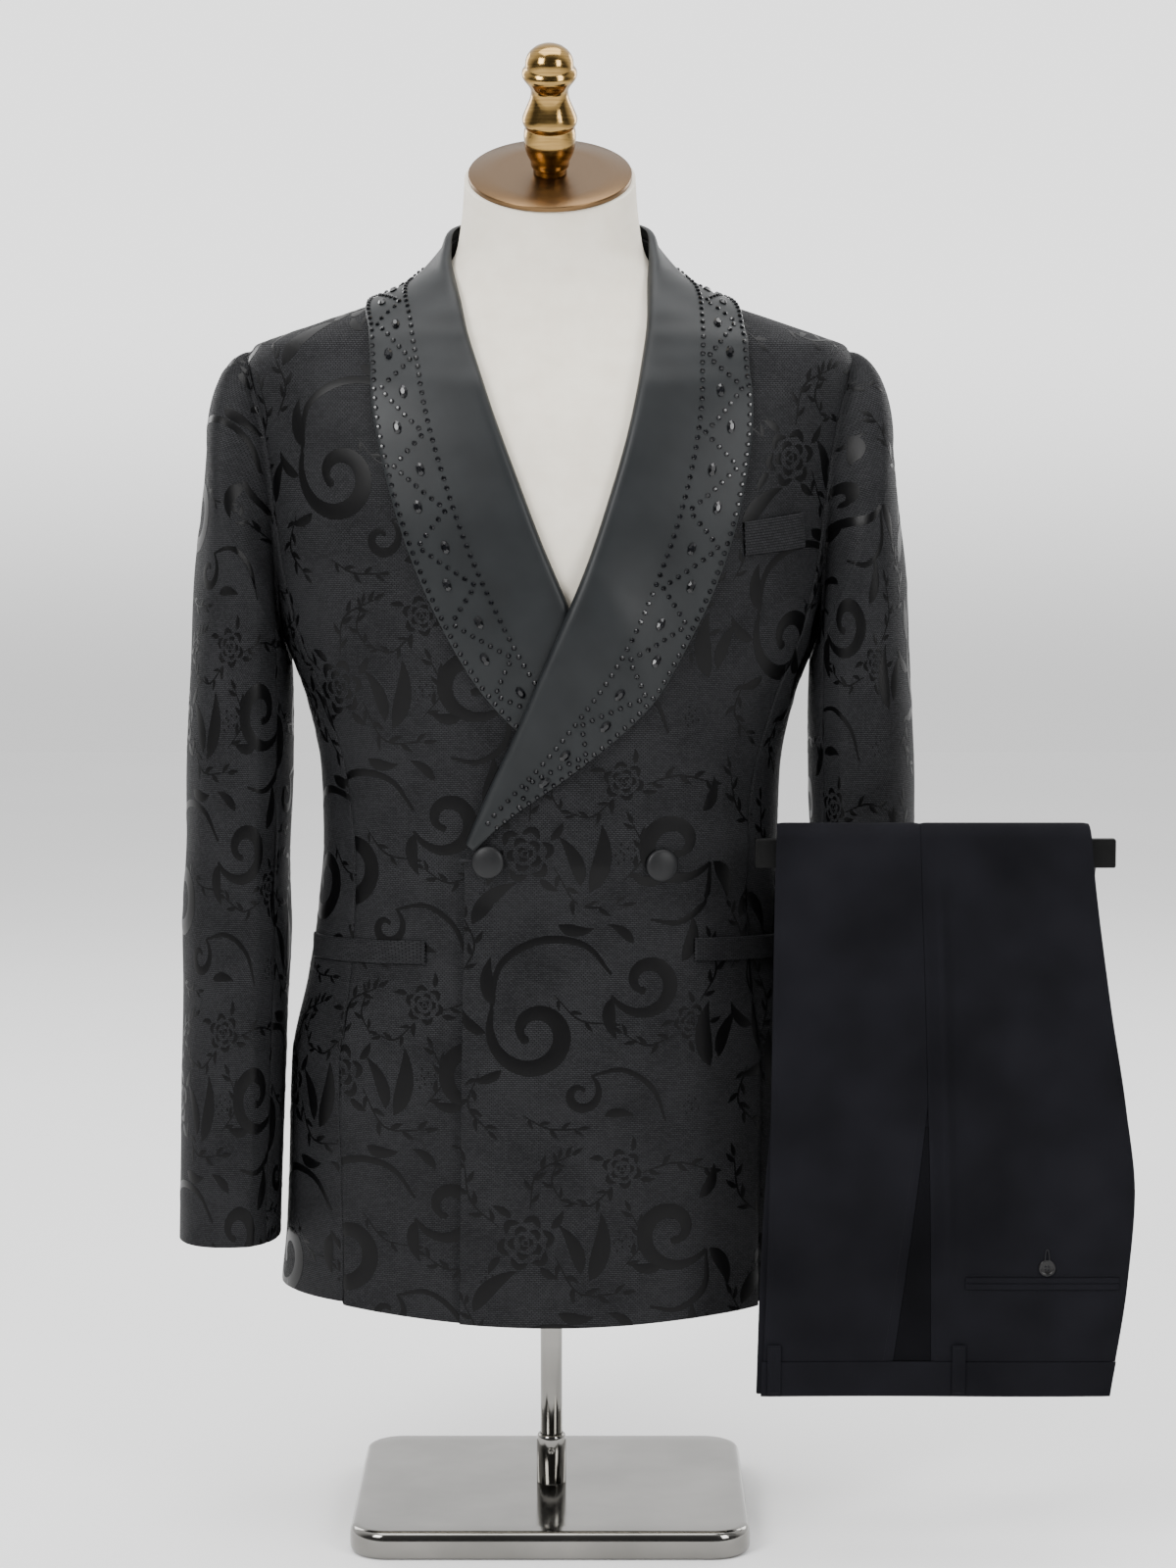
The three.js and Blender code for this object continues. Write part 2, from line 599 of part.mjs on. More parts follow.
// Shawl collar: a satin piece for each side, from its low point up the chest and round the neck to
// the centre back. Its inner edge is rolled: it rises from the figure over a few millimetres.
const CHEST_ROWS = 13;
const COLLAR_ROWS = 17;
const CHEST_SHARE = 0.64; // where the lapel starts to go over the shoulder
const shawlShares = [
  ...Array.from({ length: CHEST_ROWS }, (_, i) => (CHEST_SHARE * i) / CHEST_ROWS),
  ...Array.from({ length: COLLAR_ROWS + 1 }, (_, i) => lerp(CHEST_SHARE, 1, i / COLLAR_ROWS)),
];
const SHAWL_COLS = 4;
const ROLL_STEPS = [0, 0.12, 0.4, 1]; // shares of the rolled part
for (const [name, side] of Object.entries(SIDES)) {
  const lines = shawlLines(side);
  const shares = (rolled) => [
    ...ROLL_STEPS.map((step) => step * rolled),
    ...Array.from({ length: SHAWL_COLS }, (_, j) => lerp(rolled, 1, (j + 1) / SHAWL_COLS)),
  ];
  const under = shawlShares.map((t) => {
    const seam = t === 1 ? SEAM / 2 : 0;
    const [roll, edge] = [lines.roll(t), lines.edge(t)];
    const rolled = Math.min(ROLL_RADIUS / roll.distanceTo(edge), 0.3);
    return shares(rolled).map((s) => {
      const p = roll.clone().lerp(edge, s);
      p.x += seam;
      const rise = Math.sqrt(1 - (1 - Math.min(s / rolled, 1)) ** 2);
      const wrap = side > 0 ? wrapHeight(p.x, p.z) : 0;
      return lift(p, wrap + lerp(0.3, CLOTH + LAPEL_LAYER, rise));
    });
  });
  const outer = backed(under, -CLOTH);
  add(`shawl_${name}`, wall(flipped(outer, side), flipped(under, side)), finish.satin);
}

// Collar stand, inside the rolled collar, from the front of the neck round to the other side
const STAND_COLS = 16;
const STAND_END = -0.25; // angle of its front ends
const STAND = [
  { angle: STAND_END, low: 901.5, high: 909 },
  { angle: 0, low: 904.9, high: 924 },
  { angle: 0.85, low: 907, high: 934 },
  { angle: Math.PI / 2, low: 908.7, high: 936 },
];
const [standLow, standHigh] = ["low", "high"].map((c) => curve(STAND, "angle", c));
{
  const face = (out) =>
    grid(2, STAND_COLS, (s, t) => {
      const angle = lerp(STAND_END, Math.PI - STAND_END, s);
      const fromSide = Math.min(angle, Math.PI - angle);
      return skin(angle, lerp(standLow(fromSide), standHigh(fromSide), t), out);
    });
  add("collar_stand", wall(face(CLOTH), face(0)), finish.jacquard);
}

const TRIM_COLS = 8;
const WELT_HEIGHT = 1.6;
// Trim that lies on a front: corners are x and z as seen from in front, clear is the height it lies
// above the figure's cloth
function onFront(name, side, { inner, outer, clear }) {
  const face = (out) =>
    grid(1, TRIM_COLS, (s, t) => {
      const z = lerp(lerp(inner.low, outer.low, s), lerp(inner.high, outer.high, s), t);
      const end = (corner) => angleAt(lerp(corner.x, corner.topX ?? corner.x, t), z);
      const p = onFigure(lerp(end(inner), end(outer), s), z);
      return raised(p, (side > 0 ? wrapHeight(p.x, z) : 0) + CLOTH + clear + out);
    });
  add(name, wall(flipped(face(WELT_HEIGHT), side), flipped(face(0), side)), finish.jacquard);
}
const HIP_WELTS = {
  left: { inner: { x: 99, low: 423, high: 439 }, outer: { x: 161, low: 418, high: 434 }, clear: 0.9 },
  right: { inner: { x: 86, low: 421, high: 437 }, outer: { x: 167, low: 416, high: 432 }, clear: 1.1 },
};
for (const [name, side] of Object.entries(SIDES)) {
  onFront(`hip_welt_${name}`, side, HIP_WELTS[name]);
}
const BREAST_WELT = {
  inner: { x: 135, topX: 134, low: 707, high: 730 },
  outer: { x: 177, topX: 175, low: 712, high: 736 },
  clear: 0.7,
};
onFront("breast_welt", SIDES.left, BREAST_WELT);

// Covered buttons: one fastens at the edge of the wrap, one is its pair
const BUTTONS = { fastening: { x: -41, z: 495 }, pair: { x: 75, z: 492 } };
const BUTTON_CLEAR = 0.1; // above the true curve, which the faceted cloth lies below
const buttonProfile = [
  [0, 0],
  [7.5, 0],
  [10.6, 1.1],
  [COVERED_BUTTON.radius, 2.8],
  [10.3, 4.9],
  [6.4, 6.2],
  [0, COVERED_BUTTON.height],
];
function turned(profile, segments) {
  const points = profile.map(([r, h]) => new THREE.Vector2(r, h));
  return new THREE.LatheGeometry(points, segments);
}
const UP = V(0, 1, 0); // a lathe's axis
for (const [name, at] of Object.entries(BUTTONS)) {
  const angle = angleAt(at.x, at.z);
  const out = wrapHeight(at.x, at.z) + CLOTH + BUTTON_CLEAR;
  const seat = skin(angle, at.z, out);
  const normal = skin(angle, at.z, out + 1).sub(seat);
  const button = add(`button_${name}`, turned(buttonProfile, 16), finish.satin);
  button.position.copy(seat);
  button.quaternion.setFromUnitVectors(UP, normal);
}

// Dress form: the figure a little smaller, with flat ends for arms and a neck that leans forward
const FORM_INSET = 5.2; // below the cloth, square to it; the faceted cloth dips by most of that
const NECK_SECTIONS = [
  { z: NECK_Z, half: 80, front: 56, back: 60, side: 8, square: 2.1 },
  { z: 914, half: 68.5, front: 54, back: 57, side: 7, square: 2.05 },
  { z: 930, half: 65, front: 52, back: 54, side: 5, square: 2 },
  { z: 954, half: 62, front: 51, back: 52, side: 3, square: 2 },
  { z: 1010, half: 59.5, front: 53, back: 53, side: 2, square: 2 },
];
const neck = sections(NECK_SECTIONS);
function onForm(angle, z) {
  if (z > NECK_Z) return onSection(neck, angle, z);
  const p = skin(angle, z, -FORM_INSET);
  return p.setX(clamp(p.x, -ARM_PLATE_X, ARM_PLATE_X));
}

// A closed solid from level rings and the middles of its two ends
function stacked(rings, low, high) {
  const cols = rings[0].length;
  const points = [...rings.flat(), low, high];
  const index = [];
  const at = (i, j) => i * cols + (j % cols);
  const top = rings.length - 1;
  for (let j = 0; j < cols; j += 1) {
    for (let i = 0; i < top; i += 1) {
      index.push(at(i, j), at(i, j + 1), at(i + 1, j + 1), at(i, j), at(i + 1, j + 1), at(i + 1, j));
    }
    index.push(points.length - 2, at(0, j + 1), at(0, j));
    index.push(points.length - 1, at(top, j), at(top, j + 1));
  }
  return solid(points, index);
}
const FORM_COLS = 28;
const FORM_LEVELS = [
  212, 280, 345, 400, 450, 500, 550, 600, 655, 710, 760, 800, 830, 848, 857, 866, 875, 885, 894, 908,
];
const NECK_LEVELS = 4;
{
  const angles = Array.from({ length: FORM_COLS }, (_, j) => (2 * Math.PI * j) / FORM_COLS);
  const rings = FORM_LEVELS.map((z) => angles.map((a) => onForm(a, z)));
  rings[0].forEach((p) => p.setZ(FORM_BOTTOM));
  const last = FORM_LEVELS[FORM_LEVELS.length - 1];
  for (let i = 1; i <= NECK_LEVELS; i += 1) {
    rings.push(
      angles.map((a) => {
        const rim = onForm(a, CAP.z);
        const rimZ = CAP.z + Math.tan(CAP.tilt) * (rim.y - CAP.y);
        return onForm(a, lerp(last, rimZ, i / NECK_LEVELS)).setZ(lerp(last, rimZ, i / NECK_LEVELS));
      }),
    );
  }
  // The rim lies in the cap's plane
  const rim = rings[rings.length - 1];
  rim.forEach((p) => p.setZ(CAP.z + Math.tan(CAP.tilt) * (p.y - CAP.y)));
  add("form_torso", stacked(rings, V(0, 4, FORM_BOTTOM), V(0, CAP.y, CAP.z)), finish.linen);
}

// Neck cap and finial, square to the neck's slanted end
const finialProfile = [
  [0, 0],
  [12, 0],
  [12, 4],
  [13.6, 6],
  [13.8, 8.5],
  [16.6, 15],
  [18.4, 24],
  [18.4, 31],
  [17.6, 35],
  [19.3, 39],
  [19.4, 42],
  [16, 51],
  [13.4, 58],
  [13.4, 63],
  [15, 67],
  [19.2, 73],
  [19.4, 76],
  [17.2, 79],
  [16.4, 85],
  [12.8, 91],
  [7, 94.6],
  [0, 96],
];
const CAP_BEVEL = 0.8;
{
  const crown = new THREE.Group();
  crown.position.set(0, CAP.y, CAP.z);
  crown.rotation.x = CAP.tilt;
  suit.add(crown);
  const shoulder = CAP.thickness - CAP_BEVEL;
  const profile = [
    [0, 0],
    [CAP.radius, 0],
    [CAP.radius, shoulder],
    [CAP.radius - CAP_BEVEL, CAP.thickness],
    [0, CAP.thickness],
  ];
  const disc = new THREE.Mesh(turned(profile, 40), finish.brass);
  disc.name = "neck_cap";
  disc.rotation.x = Math.PI / 2;
  disc.position.z = CLEAR;
  const finial = new THREE.Mesh(turned(finialProfile, 18), finish.brass);
  finial.name = "neck_finial";
  finial.rotation.x = Math.PI / 2;
  finial.position.z = CLEAR + CAP.thickness + CLEAR;
  crown.add(disc, finial);
}

// Stand: a heavy chromed base plate, a socket and a post up to the form
function roundedRectangle(width, depth, radius) {
  const shape = new THREE.Shape();
  const [x, y] = [width / 2 - radius, depth / 2 - radius];
  shape.absarc(x, -y, radius, -Math.PI / 2, 0);
  shape.absarc(x, y, radius, 0, Math.PI / 2);
  shape.absarc(-x, y, radius, Math.PI / 2, Math.PI);
  shape.absarc(-x, -y, radius, Math.PI, Math.PI * 1.5);
  return shape;
}
{
  const inset = 2 * BASE.edge;
  const outline = roundedRectangle(BASE.x - inset, BASE.y - inset, BASE.corner - BASE.edge);
  const plate = new THREE.ExtrudeGeometry(outline, {
    depth: BASE.z - 2 * BASE.edge,
    bevelThickness: BASE.edge,
    bevelSize: BASE.edge,
    bevelSegments: 3,
    curveSegments: 5,
  });
  add("base_plate", plate, finish.chrome).position.z = BASE.edge;
}
function ring(name, inner, outer, low, high, material) {
  const profile = [
    [inner, low],
    [outer, low],
    [outer, high - 1],
    [outer - 1, high],
    [inner, high],
    [inner, low],
  ];
  add(name, turned(profile, 24), material).rotation.x = Math.PI / 2;
}
ring("base_socket", POST_RADIUS + CLEAR, SOCKET.radius, BASE.z + CLEAR, SOCKET.top, finish.chrome);
{
  const length = FORM_BOTTOM - BASE.z - 2 * CLEAR;
  const post = add("post", new THREE.CylinderGeometry(POST_RADIUS, POST_RADIUS, length, 24), finish.chrome);
  post.rotation.x = Math.PI / 2;
  post.position.z = BASE.z + CLEAR + length / 2;
}

// Rail for the trousers, on an arm that is clamped to the post and passes behind them
ring("arm_clamp", POST_RADIUS + CLEAR, CLAMP.radius, CLAMP.bottom, CLAMP.top, finish.blackSteel);
{
  const middle = (CLAMP.bottom + CLAMP.top) / 2;
  const route = new THREE.CatmullRomCurve3(
    [
      V(0.79, 0.613, 0).multiplyScalar(CLAMP.radius + CLEAR).setZ(middle),
      V(60, 46, middle),
      V(130, 62, middle),
      V(210, 62, middle),
      V(300, 40, middle),
      V(362, 0, middle),
      V(379, -30, middle + 8),
      V(381, -52, middle + 40),
      V(381, -58, middle + 90),
      V(381, -60, 440),
      V(381, -64, 476),
      V(381, -80, 497),
      V(381, -100, 503),
      V(381, -115, 504),
      V(381, RAIL.back + CLEAR, 504),
    ],
    false,
    "centripetal",
  );
  const section = new THREE.Shape().absarc(0, 0, ARM_RADIUS, 0, 2 * Math.PI);
  const options = { steps: 32, extrudePath: route, curveSegments: 4, bevelEnabled: false };
  add("rail_arm", new THREE.ExtrudeGeometry(section, options), finish.blackSteel);
}
{
  const [depth, height] = [RAIL.back - RAIL.front, RAIL.top - RAIL.bottom];
  const rail = new THREE.BoxGeometry(RAIL.right - RAIL.left, depth, height);
  add("trouser_rail", rail, finish.blackSteel).position.set(
    (RAIL.left + RAIL.right) / 2,
    (RAIL.front + RAIL.back) / 2,
    (RAIL.bottom + RAIL.top) / 2,
  );
}

// Trousers, folded leg on leg and hung over the rail, waist down in front. Their outline is given
// along the cloth: at is the height in front of or behind the rail.
const railMiddle = (RAIL.front + RAIL.back) / 2;
const railHalf = (RAIL.back - RAIL.front) / 2;
const foldRadius = railHalf + FOLD.face;
const TURN_LENGTH = (Math.PI / 2) * foldRadius; // a quarter of the way over the rail
const alongAt = (z) => TURN_LENGTH + RAIL.top - z; // from the top of the fold to a height
const OUTLINE = [
  { along: -alongAt(LEG_HEM_Z), left: 178, seam: 256, right: 336, under: 180 },
  { along: -alongAt(330), left: 166, seam: 257, right: 355, under: 168 },
  { along: 0, left: 157, seam: 255, right: 371, under: 159 },
  { along: alongAt(486), left: 155.5, seam: 256, right: 375, under: 157.5 },
  { along: alongAt(400), left: 154, seam: 259, right: 386, under: 155 },
  { along: alongAt(330), left: 153, seam: 261, right: 397, under: 153.5 },
  { along: alongAt(268), left: 152, seam: 263, right: 404, under: 149 },
  { along: alongAt(207), left: 150.5, seam: 264, right: 400, under: 146 },
  { along: alongAt(WAIST_Z), left: 148, seam: 265, right: 389, under: 144 },
];
const outline = Object.fromEntries(
  ["left", "seam", "right", "under"].map((c) => [c, curve(OUTLINE, "along", c)]),
);
// Drape of the front fall, away from the rail
const FALL = [
  { z: WAIST_Z, y: 5 },
  { z: 200, y: 9 },
  { z: 300, y: 10 },
  { z: 420, y: 5 },
  { z: 505, y: 0 },
];
const fall = curve(FALL, "z", "y");

// A point of the folded cloth: across, along from the top of the fold, and above the rail's face
function onTrousers(x, along, height) {
  const radius = railHalf + height;
  if (Math.abs(along) < TURN_LENGTH) {
    const turn = along / foldRadius;
    return V(x, railMiddle - radius * Math.sin(turn), RAIL.top + radius * Math.cos(turn));
  }
  const z = RAIL.top - (Math.abs(along) - TURN_LENGTH);
  return V(x, railMiddle - Math.sign(along) * radius - (along > 0 ? fall(z) : 0), z);
}
// Heights along the trousers where rows lie, from one end of a piece to the other
const ROW_MARKS = [
  -alongAt(LEG_HEM_Z), -alongAt(230), -alongAt(330), -alongAt(430), -TURN_LENGTH, -11, -5.5, 0, 5.5, 11,
  TURN_LENGTH, alongAt(486), alongAt(450), alongAt(400), alongAt(350), alongAt(315), alongAt(268),
  alongAt(235), alongAt(200), alongAt(175), alongAt(WAIST_SEAM_Z),
];
const lastMark = ROW_MARKS[ROW_MARKS.length - 1];

// The slanted side pocket opens between the seam and a line in the front panel
const POCKET = { topZ: 331, mouth: 26 };
const mouthGap = (along) => {
  const from = alongAt(POCKET.topZ);
  return along < from ? 0 : (POCKET.mouth * (along - from)) / (lastMark - from);
};

// The soft fold that stands up beside the side seam
const RIDGE = { x: 11, width: 6, height: 3.2 };
const ridge = (x, along) => {
  const away = (x - outline.seam(along) - RIDGE.x) / RIDGE.width;
  const share = smoothstep(along, 10, 90) * (1 - smoothstep(along, alongAt(260), alongAt(170)));
  return RIDGE.height * Math.exp(-away * away) * share;
};
function trouserPanel(name, marks, left, right, shares, heights, material = finish.wool) {
  const [low, high] = heights;
  const face = (height, folded) =>
    marks.map((along) =>
      shares.map((s) => {
        const x = lerp(left(along), right(along), s);
        return onTrousers(x, along, height + (folded ? ridge(x, along) : 0));
      }),
    );
  add(name, wall(face(high, true), face(low, true)), material);
}
const even = (count) => Array.from({ length: count + 1 }, (_, i) => i / count);
const half = SEAM / 2;
trouserPanel(
  "trouser_front",
  ROW_MARKS,
  outline.left,
  (along) => outline.seam(along) - half - mouthGap(along),
  even(3),
  [FOLD.cloth, FOLD.face],
);
const backShares = [0, 0.03, 0.06, 0.085, 0.115, 0.16, 0.4, 0.7, 1];
trouserPanel(
  "trouser_back",
  ROW_MARKS,
  (along) => outline.seam(along) + half,
  outline.right,
  backShares,
  [FOLD.cloth, FOLD.face],
);
const pocketMarks = ROW_MARKS.filter((along) => along >= alongAt(316));
trouserPanel(
  "side_pocket_facing",
  pocketMarks,
  (along) => outline.seam(along) + half - mouthGap(along),
  (along) => outline.seam(along) - half,
  even(1),
  [FOLD.cloth, FOLD.face - 0.5],
);

// Waistband, belt loops, back pocket and its button
trouserPanel(
  "waistband",
  [lastMark + SEAM, alongAt(138), alongAt(WAIST_Z)],
  (along) => outline.left(along) - 1,
  (along) => outline.right(along) + 0.5,
  even(6),
  [FOLD.cloth, FOLD.face + 0.5],
);
const BELT_LOOPS = { front: 156, side: 284 };
const LOOP = { width: 9, top: 163, bottom: 127, low: FOLD.face + 0.8, high: FOLD.face + 2 };
for (const [name, x] of Object.entries(BELT_LOOPS)) {
  trouserPanel(
    `belt_loop_${name}`,
    [alongAt(LOOP.top), lastMark, alongAt(138), alongAt(LOOP.bottom)],
    () => x - LOOP.width / 2,
    () => x + LOOP.width / 2,
    even(1),
    [LOOP.low, LOOP.high],
  );
}
const BACK_POCKET = { left: 288, right: 394, z: 207, half: 4, low: FOLD.face + 0.3, high: FOLD.face + 1.1 };
trouserPanel(
  "back_pocket_jets",
  [alongAt(BACK_POCKET.z + BACK_POCKET.half), alongAt(BACK_POCKET.z - BACK_POCKET.half)],
  () => BACK_POCKET.left,
  () => BACK_POCKET.right,
  even(3),
  [BACK_POCKET.low, BACK_POCKET.high],
);
const POCKET_BUTTON = { x: 344, z: 218, radius: 5.8, height: 2.6, foot: 0.6, rim: 1.4, dish: 0.7 };
{
  const { radius, height, foot, rim, dish } = POCKET_BUTTON;
  const profile = [
    [0, 0],
    [radius - foot, 0],
    [radius, 1],
    [radius, height],
    [radius - rim, height],
    [radius - rim - 0.4, height - dish],
    [0, height - dish],
  ];
  const button = add("back_pocket_button", turned(profile, 16), finish.horn);
  const at = alongAt(POCKET_BUTTON.z);
  button.position.copy(onTrousers(POCKET_BUTTON.x, at, FOLD.face + CLEAR));
  button.quaternion.setFromUnitVectors(UP, V(0, -1, 0));
}

// The layers inside the fold: the near leg's other side and the far leg, as one solid with a groove
// between the legs along its side edges
const GROOVE = { depth: 2.2, at: 1.9 };
const LAYER_ENDS = [
  { inset: 0.7, height: FOLD.inner },
  { inset: 0, height: FOLD.inner + 0.7 },
  { inset: 0, height: FOLD.under - GROOVE.at - 0.9 },
  { inset: GROOVE.depth, height: FOLD.under - GROOVE.at },
  { inset: 0, height: FOLD.under - GROOVE.at + 0.6 },
  { inset: 0.5, height: FOLD.under },
];
{
  const marks = [...ROW_MARKS, alongAt(WAIST_Z + 1)];
  const inner = [0.25, 0.5, 0.75];
  const rings = marks.map((along) => {
    const [left, right] = [outline.under(along), outline.right(along) - 1.5];
    const span = inner.map((s) => lerp(left, right, s));
    return [
      ...LAYER_ENDS.map((e) => onTrousers(left + e.inset, along, e.height)),
      ...span.map((x) => onTrousers(x, along, FOLD.under)),
      ...LAYER_ENDS.slice().reverse().map((e) => onTrousers(right - e.inset, along, e.height)),
      ...span.slice().reverse().map((x) => onTrousers(x, along, FOLD.inner)),
    ];
  });
  const middle = (along) =>
    onTrousers(lerp(outline.under(along), outline.right(along), 0.5), along, (FOLD.inner + FOLD.under) / 2);
  const ends = [marks[0], marks[marks.length - 1]].map(middle);
  add("trouser_inner_layers", stacked(rings, ...ends), finish.wool);
}

export default suit;
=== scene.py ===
import math

import bpy
import numpy as np
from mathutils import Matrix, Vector


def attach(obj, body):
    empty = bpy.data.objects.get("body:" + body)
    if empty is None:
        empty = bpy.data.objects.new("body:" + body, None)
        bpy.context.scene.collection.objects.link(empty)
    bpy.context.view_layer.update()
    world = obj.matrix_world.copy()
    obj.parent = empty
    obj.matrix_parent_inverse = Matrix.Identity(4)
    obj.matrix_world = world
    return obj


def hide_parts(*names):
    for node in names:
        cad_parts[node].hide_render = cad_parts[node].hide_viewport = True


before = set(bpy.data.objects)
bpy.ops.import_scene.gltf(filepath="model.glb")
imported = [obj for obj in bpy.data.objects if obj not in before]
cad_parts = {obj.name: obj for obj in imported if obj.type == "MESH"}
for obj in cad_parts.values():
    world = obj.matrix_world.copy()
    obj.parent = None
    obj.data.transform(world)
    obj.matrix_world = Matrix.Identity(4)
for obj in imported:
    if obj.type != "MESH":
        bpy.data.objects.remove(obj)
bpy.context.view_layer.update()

MM = 0.001
BODY = "root"

# Sizes shared with the solids
CLOTH = 2.0
SEAM = 0.3
LAPEL_LAYER = 2.0
SIDE_HEM_Z = 176.0
HEM_DIP = 10.0
SHOULDER_Z = 851.0
NECK_Z = 904.0
BACK_NECK_Z = 908.0
GORGE_Z = 872.0
CHEST_Z = 610.0
ARMHOLE = {"bottom": 640.0, "front": 50.0, "back": 60.0, "y": 6.0}
CUFF_Z = 213.0
ROLL_RADIUS = 5.5


# Small helpers on arrays


def blend(a, b, share):
    return a + (b - a) * share


def smooth(value, low, high):
    t = np.clip((value - low) / (high - low), 0, 1)
    return t * t * (3 - 2 * t)


def powered(value, power):
    return np.sign(value) * np.abs(value) ** power


def unit(vectors):
    return vectors / np.maximum(np.linalg.norm(vectors, axis=-1, keepdims=True), 1e-12)


def cubic(y, slope, i, h, t):
    """The value a share t along the step i, of length h, of a curve with known slopes."""
    t2, t3 = t * t, t * t * t
    start = y[i] * (2 * t3 - 3 * t2 + 1) + slope[i] * h * (t3 - 2 * t2 + t)
    return start + y[i + 1] * (3 * t2 - 2 * t3) + slope[i + 1] * h * (t3 - t2)


def step_at(x, value):
    return np.clip(np.searchsorted(x, value, side="right") - 1, 0, len(x) - 2)


def monotone(x, y):
    """A smooth curve through a table that never overshoots it."""
    x, y = np.asarray(x, float), np.asarray(y, float)
    step = np.diff(x)
    rise = np.diff(y) / step
    before, after = rise[:-1], rise[1:]
    same = before * after > 0
    total = np.where(same, before + after, 1)
    slope = np.concatenate([rise[:1], np.where(same, 2 * before * after / total, 0), rise[-1:]])

    def at(value):
        v = np.clip(value, x[0], x[-1])
        i = step_at(x, v)
        return cubic(y, slope, i, step[i], (v - x[i]) / step[i])

    return at


def columns(rows, names):
    """A curve for each named column of a table, against its first one."""
    table = np.array(rows, float)
    return {name: monotone(table[:, 0], table[:, i + 1]) for i, name in enumerate(names)}


def rounded_line(points, count):
    """A smooth line of a given number of points through a few points."""
    points = np.array(points, float)
    along = np.concatenate([[0], np.cumsum(np.linalg.norm(np.diff(points, axis=0), axis=1))])
    at = np.linspace(0, along[-1], count)
    i = step_at(along, at)
    h = along[i + 1] - along[i]
    t = (at - along[i]) / h
    return np.stack([cubic(column, np.gradient(column, along), i, h, t) for column in points.T], -1)


# Camera, floor and light

CAMERA = {"place": (0.027, -2.600, 0.805), "tilt": 90 - 5.863, "lens": 82.83}


def in_scene(name, data):
    made = bpy.data.objects.new(name, data)
    bpy.context.collection.objects.link(made)
    return made


def make_camera():
    data = bpy.data.cameras.new("camera")
    data.lens = CAMERA["lens"]
    data.sensor_width = 36
    camera = in_scene("camera", data)
    camera.location = CAMERA["place"]
    camera.rotation_euler = (math.radians(CAMERA["tilt"]), 0, 0)
    bpy.context.scene.camera = camera


# Where each soft light stands, its size and power in watts
LIGHTS = [
    {"name": "key", "place": (-1.7, -2.1, 2.2), "size": (1.1, 1.5), "power": 92},
    {"name": "fill", "place": (1.9, -2.0, 1.6), "size": (0.9, 1.6), "power": 50},
    {"name": "top", "place": (0.1, -0.2, 2.9), "size": (2.2, 1.4), "power": 50},
    {"name": "back_left", "place": (-1.9, 1.9, 1.7), "size": (0.9, 1.5), "power": 26},
    {"name": "back_right", "place": (1.9, 1.9, 1.6), "size": (0.9, 1.5), "power": 24},
]
AIM = Vector((0.03, 0, 0.56))
# A pale backdrop and ceiling over a dim room behind the camera: brightness by how far a direction
# points this way, from -1 to 1
WORLD_WAY = (0, 0.8, 0.6)
WORLD = [(0.0, (0.05,) * 3), (0.46, (0.1,) * 3), (0.72, (1.0,) * 3), (1.0, (1.0,) * 3)]
WORLD_STRENGTH = 1.45
PALE = 1.5  # the backdrop as it is seen, the same on every side
# The backdrop seen is painted darker towards the floor line, as painted shade at its foot
HORIZON = 0.69  # and where it meets the floor
CLIMB = (-0.08, 0.03)  # it turns pale between these heights of the direction seen
FLOOR_COLOUR = (0.9, 0.9, 0.9)


def make_lights():
    for spec in LIGHTS:
        data = bpy.data.lights.new(spec["name"], "AREA")
        data.shape = "RECTANGLE"
        data.size, data.size_y = spec["size"]
        data.energy = spec["power"]
        lamp = in_scene(spec["name"], data)
        lamp.location = spec["place"]
        lamp.rotation_euler = (AIM - lamp.location).to_track_quat("-Z", "Y").to_euler()


class Nodes:
    """A node tree, with short ways to add to it."""

    def __init__(self, tree):
        self.tree = tree

    def node(self, kind, inputs=None, **settings):
        """A new node, its settings made and its inputs joined to sockets or set."""
        made = self.tree.nodes.new(kind)
        for key, value in settings.items():
            setattr(made, key, value)
        for key, value in (inputs or {}).items():
            if isinstance(value, bpy.types.NodeSocket):
                self.tree.links.new(value, made.inputs[key])
            else:
                made.inputs[key].default_value = value
        return made

    def maths(self, operation, *values):
        return self.node("ShaderNodeMath", dict(enumerate(values)), operation=operation).outputs[0]

    def ramp(self, value, stops):
        """A colour for each value, through stops of position and colour."""
        made = self.node("ShaderNodeValToRGB", {"Fac": value})
        elements = made.color_ramp.elements
        while len(elements) < len(stops):
            elements.new(0.5)
        for element, (position, tint) in zip(elements, stops):
            element.position = position
            element.color = (*tint, 1)
        return made.outputs[0]


def make_world():
    world = bpy.data.worlds.new("studio")
    bpy.context.scene.world = world
    world.use_nodes = True
    sky = Nodes(world.node_tree)
    way = sky.node("ShaderNodeTexCoord").outputs["Generated"]
    along = sky.node("ShaderNodeVectorMath", {0: way, 1: WORLD_WAY}, operation="DOT_PRODUCT")
    share = sky.node("ShaderNodeMapRange", {"Value": along.outputs["Value"], "From Min": -1})
    level = sky.node("ShaderNodeSeparateXYZ", {0: way}).outputs["Z"]
    heights = {"Value": level, "From Min": CLIMB[0], "From Max": CLIMB[1], "To Min": HORIZON, "To Max": PALE}
    climb = sky.node("ShaderNodeMapRange", heights, interpolation_type="SMOOTHSTEP")
    seen = sky.node("ShaderNodeLightPath").outputs["Is Camera Ray"]
    parts = {"Factor": seen, "A": sky.ramp(share.outputs[0], WORLD), "B": climb.outputs[0]}
    mixed = sky.node("ShaderNodeMix", parts, data_type="RGBA")
    back = sky.tree.nodes["Background"]
    back.inputs["Strength"].default_value = WORLD_STRENGTH
    sky.tree.links.new(mixed.outputs["Result"], back.inputs["Color"])


# Materials: each finish is a small tree on the shader


